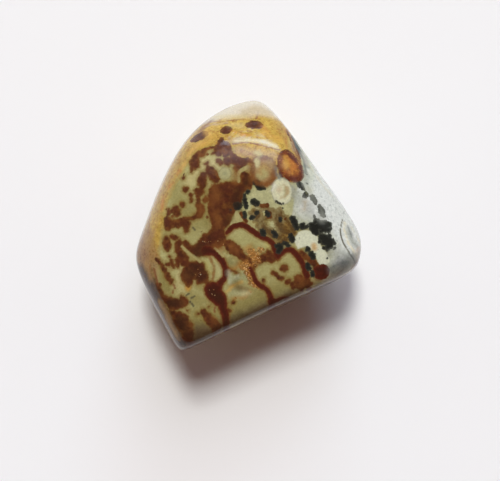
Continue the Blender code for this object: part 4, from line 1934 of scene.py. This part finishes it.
@dataclass(frozen=True)
class Pebble:
    """The tumbled stone itself: its form, its markings and its polish.

    Attributes:
        name: The piece's name.
        form: The stone's form.
        camera: The camera that the marks were placed through.
        samples_per_pixel: How closely a run is drawn.
        zone_samples: The same for a zone's outline.
        patch_samples: The same for a patch's outline.
        patch_facing: Where the surface faces the camera less than this, a patch fades.
        patch_fall: How fast it fades, in millimetres of depth.
        wavers: How far the washes' edges wander, how often for each millimetre,
            and a shift for each noise.
    """

    name: str = "polished_pebble"
    form: PebbleForm = PebbleForm()
    camera: PhotoCamera = PhotoCamera()
    samples_per_pixel: float = 1.2
    zone_samples: float = 0.2
    patch_samples: float = 0.5
    patch_facing: float = 0.25
    patch_fall: float = 8.0
    wavers: tuple[tuple[float, float, float], ...] = ((0.16, 1.3, 0.0), (0.12, 3.4, 7.0))

    def outline_depth(self, places: Array, outline: Outline, samples: float) -> Array:
        """How deep each point lies inside an outline on the photograph.

        Args:
            places: Where the surface's points fall on the photograph.
            outline: The closed outline's corners, in its pixels.
            samples: Samples for each pixel along the outline.

        Returns:
            One depth for each point, in millimetres.
        """
        closed = smooth_run(tuple((x, y, 0.0) for x, y in outline), samples)[:, :2]
        return plan_distance(places, closed) / self.camera.pixels_per_mm

    def lay_marks(self, mesh: bpy.types.Mesh, surface: SurfaceMap) -> None:
        """Lays every marking on the mesh.

        Args:
            mesh: The pebble's mesh.
            surface: The same mesh's surface.
        """
        fields = {layer: DepthField(surface) for layer in Layer}
        places = self.camera.project(surface.points)
        for layer, outline in ZONES:
            fields[layer].add_zone(self.outline_depth(places, outline, self.zone_samples))
        facing = surface.normals @ -self.camera.axes()[2]
        turned_away = np.clip(self.patch_facing - facing, 0.0, 1.0) * self.patch_fall
        for layer, outline in PATCHES:
            depths = self.outline_depth(places, outline, self.patch_samples)
            fields[layer].add_zone(depths - turned_away)
        for layer, knots in SPOTS:
            for knot in knots:
                self.lay_run(fields[layer], surface, (knot,))
        for layer, runs in RUNS:
            for run in runs:
                self.lay_run(fields[layer], surface, run)
        FarSides().lay(fields, surface, self.camera)
        for layer, marking in fields.items():
            marking.store(mesh, layer.value)
        self.lay_crystals(mesh, surface, fields[Layer.DRUSE])

    def lay_crystals(self, mesh: bpy.types.Mesh, surface: SurfaceMap, druse: DepthField) -> None:
        """Writes how densely small crystals stand at each point.

        Args:
            mesh: The pebble's mesh.
            surface: The same mesh's surface.
            druse: The orange druse's marking.
        """
        sparse = DepthField(surface)
        for spot in SPARSE_CRYSTALS:
            self.lay_run(sparse, surface, (spot,))
        share = np.where(sparse.depths > 0.0, SPARSE_SHARE, 0.0)
        share[druse.depths > 0.0] = 1.0
        store_numbers(mesh, CRYSTAL_SHARE, share)

    def lay_washes(self, mesh: bpy.types.Mesh, surface: SurfaceMap) -> None:
        """Lays the soft patches of tone on the mesh, painted sheen, reflections and shade among them.

        Args:
            mesh: The pebble's mesh.
            surface: The same mesh's surface.
        """
        waver = sum(amount * surface.swirl(scale, shift) for amount, scale, shift in self.wavers)
        for name, washes in ((UNDER, UNDER_WASHES), (OVER, OVER_WASHES)):
            glaze = Glaze(surface, waver)
            for wash in washes:
                patch = DepthField(surface)
                for run in wash.runs:
                    self.lay_run(patch, surface, run)
                glaze.lay(wash, patch.depths)
            glaze.store(mesh, name)

    def lay_run(self, marking: DepthField, surface: SurfaceMap, run: Run) -> None:
        """Lays one run of the photograph's marks on the surface.

        Args:
            marking: The kind of marking that it belongs to.
            surface: The pebble's surface.
            run: The run's knots, in the photograph's pixels.
        """
        path = smooth_run(run, self.samples_per_pixel)
        centres = surface.hit(*self.camera.rays(path[:, :2]))
        away = np.linalg.norm(centres - self.camera.eye(), axis=1)
        radii = path[:, 2] * away / self.camera.focal_pixels()
        marking.add_balls(centres, radii)

    def build(self) -> bpy.types.Object:
        """Makes the pebble, sets it on the root body and hides the solid's stone in its place.

        Returns:
            The pebble's object.
        """
        mesh = self.form.mesh(self.name)
        surface = SurfaceMap(mesh)
        self.lay_marks(mesh, surface)
        self.lay_washes(mesh, surface)
        mesh.materials.append(PolishedStone().build())
        pebble = bpy.data.objects.new(self.name, mesh)
        bpy.context.scene.collection.objects.link(pebble)
        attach(pebble, "root")
        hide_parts("stone")
        return pebble


@dataclass(frozen=True)
class Studio:
    """A plain pale floor under plain soft light.

    The room is painted on the world by the direction looked in, with its parts
    east, north and up. A fade is the values between which it sets in, and its
    strength at each of them.
    """

    floor_size_m: float = 6.0
    floor_tone: Tone = (246, 246, 246)
    floor_roughness: float = 0.9
    floor_gloss: float = 0.1
    # The key light, with its place and its width against its height.
    key_radiance: float = 32.2
    key_tint: Tone = (0.985, 1.0, 0.965)
    key_slope: tuple[float, float] = (-0.04, 0.46)
    key_spread: tuple[float, float] = (0.24, 0.36)
    key_height: float = 2000.0
    # A dim room, lit northwards but not overhead, with paler walls at its sides.
    far_wall: Colour = (0.105, 0.04, 0.038, 1.0)
    near_wall: Colour = (0.34, 0.31, 0.30, 1.0)
    near_north: Fade = (-0.1, 0.35)
    near_up: Fade = (0.6, 0.95, 1.0, 0.0)
    side_wall: Colour = (0.52, 0.5, 0.38, 1.0)
    side_out: Fade = (0.7, 0.92)
    side_up: Fade = (0.3, 0.6, 1.0, 0.0)
    side_north: Fade = (-0.3, 0.0)
    # The tall soft window that veils the northern slope: the fades of its west
    # and east edges, then of its near and far ones, against its height.
    window_light: Colour = (2.6, 2.6, 3.0, 1.0)
    window_across: tuple[Fade, Fade] = ((-0.34, -0.06), (0.30, 0.80, 1.0, 0.0))
    window_away: tuple[Fade, Fade] = ((0.26, 0.80), (2.0, 2.6, 1.0, 0.0))
    # The low strip whose reflection is the arc on that slope: the fades of its
    # ends, how its lower and upper edges climb eastwards, and how soft they are.
    strip_light: Colour = (3.4, 4.6, 5.5, 1.0)
    strip_across: tuple[Fade, Fade] = ((-0.17, -0.11), (0.50, 0.60, 1.0, 0.0))
    strip_lower: Fade = (0.0, 0.28, 0.215, 0.32)
    strip_upper: Fade = (-0.05, 0.20, 0.40, 0.64)
    strip_soft: tuple[Fade, Fade] = ((-0.01, 0.01), (-0.02, 0.02))
    # The pale horizon, and what the camera sees behind the floor.
    horizon_light: Colour = (0.85, 0.85, 0.86, 1.0)
    horizon_up: Fade = (0.0, 0.12, 1.0, 0.0)
    backdrop_light: Colour = (0.87, 0.87, 0.87, 1.0)
    # The least number to divide by.
    least: float = 0.001

    def floor(self) -> bpy.types.Object:
        """Makes the floor.

        Returns:
            The floor's object.
        """
        half = self.floor_size_m / 2.0
        mesh = bpy.data.meshes.new("floor")
        corners = [(-half, -half, 0.0), (half, -half, 0.0), (half, half, 0.0), (-half, half, 0.0)]
        mesh.from_pydata(corners, [], [(0, 1, 2, 3)])
        material = bpy.data.materials.new("pale_floor")
        material.use_nodes = True
        shader = material.node_tree.nodes["Principled BSDF"]
        shader.inputs["Base Color"].default_value = linear(self.floor_tone)
        shader.inputs["Roughness"].default_value = self.floor_roughness
        shader.inputs["Specular IOR Level"].default_value = self.floor_gloss
        mesh.materials.append(material)
        floor = bpy.data.objects.new("floor", mesh)
        bpy.context.scene.collection.objects.link(floor)
        return floor

    def key_light(self) -> bpy.types.Object:
        """Makes the soft key light, too soft to show in the polish.

        Returns:
            The light's object.
        """
        data = bpy.data.lights.new("soft_key", "AREA")
        data.shape = "RECTANGLE"
        data.size = self.key_spread[0] * self.key_height * MM
        data.size_y = self.key_spread[1] * self.key_height * MM
        data.color = self.key_tint
        data.energy = self.key_radiance * math.pi * data.size * data.size_y
        light = bpy.data.objects.new("soft_key", data)
        place = Vector((*self.key_slope, 1.0)) * self.key_height * MM
        light.matrix_world = Matrix.Translation(place)
        light.visible_camera = False
        light.visible_glossy = False
        bpy.context.scene.collection.objects.link(light)
        return light

    def window(self, sheet: NodeSheet, east: Socket, north: Socket, up: Socket) -> Socket:
        """The tall soft window that veils the pebble's northern slope.

        Args:
            sheet: The room's node sheet.
            east: The looking direction's part eastwards.
            north: Its part northwards.
            up: Its part upwards.

        Returns:
            The window's share of full brightness.
        """
        height = sheet.math("MAXIMUM", up, self.least)
        across = sheet.math("DIVIDE", east, height)
        away = sheet.math("DIVIDE", north, height)
        edges = [sheet.spread(across, *fade) for fade in self.window_across]
        edges += [sheet.spread(away, *fade) for fade in self.window_away]
        return sheet.product(*edges)

    def strip(self, sheet: NodeSheet, east: Socket, north: Socket, up: Socket) -> Socket:
        """The bright low strip whose reflection is the arc on the northern slope.

        Args:
            sheet: The room's node sheet.
            east: The looking direction's part eastwards.
            north: Its part northwards.
            up: Its part upwards.

        Returns:
            The strip's share of full brightness.
        """
        turn = sheet.math("DIVIDE", east, sheet.math("MAXIMUM", north, self.least))
        level = sheet.math("SQRT", sheet.math("SUBTRACT", 1.0, sheet.product(up, up)))
        climb = sheet.math("DIVIDE", up, sheet.math("MAXIMUM", level, self.least))
        above = sheet.math("SUBTRACT", climb, sheet.spread(turn, *self.strip_lower))
        below = sheet.math("SUBTRACT", sheet.spread(turn, *self.strip_upper), climb)
        edges = [sheet.spread(turn, *fade) for fade in self.strip_across]
        edges += [
            sheet.spread(inside, *fade) for inside, fade in zip((above, below), self.strip_soft)
        ]
        return sheet.product(*edges)

    def sky(self) -> None:
        """Lights the room: pale near the horizon, dim above and to the south."""
        world = bpy.data.worlds.new("soft_room")
        bpy.context.scene.world = world
        world.use_nodes = True
        sheet = NodeSheet(world.node_tree)
        looking = sheet.add("ShaderNodeTexCoord").outputs["Generated"]
        east, north, up = sheet.add("ShaderNodeSeparateXYZ", {0: looking}).outputs
        horizon = sheet.spread(up, *self.horizon_up)
        lit = sheet.product(sheet.spread(north, *self.near_north), sheet.spread(up, *self.near_up))
        colour = sheet.blend(lit, self.far_wall, self.near_wall)
        beside = sheet.product(
            sheet.spread(sheet.math("ABSOLUTE", east), *self.side_out),
            sheet.spread(up, *self.side_up),
            sheet.spread(north, *self.side_north),
        )
        colour = sheet.blend(beside, colour, self.side_wall)
        colour = sheet.blend(self.window(sheet, east, north, up), colour, self.window_light)
        colour = sheet.blend(self.strip(sheet, east, north, up), colour, self.strip_light)
        colour = sheet.blend(horizon, colour, self.horizon_light)
        seen = sheet.add("ShaderNodeLightPath").outputs["Is Camera Ray"]
        colour = sheet.blend(seen, colour, self.backdrop_light)
        background = sheet.add("ShaderNodeBackground", {"Color": colour})
        sheet.add("ShaderNodeOutputWorld", {"Surface": background.outputs[0]})

    def build(self) -> None:
        """Makes the floor, the key light and the room's light."""
        self.floor()
        self.key_light()
        self.sky()
        view = bpy.context.scene.view_settings
        view.view_transform = "Standard"
        view.look = "None"
        LOG.info("studio: floor, one soft key light, room light")


def main() -> None:
    """Builds the camera, the pebble, its crystals and the studio, in that order."""
    logging.basicConfig(level=logging.INFO, format="%(name)s: %(message)s")
    camera = PhotoCamera()
    camera.create()
    pebble = Pebble(camera=camera).build()
    glints = QuartzGlints().build(pebble.data)
    for piece in (pebble, glints):
        LOG.info("%s: %d faces", piece.name, len(piece.data.polygons))
    Studio().build()


if __name__ == "__main__":
    main()
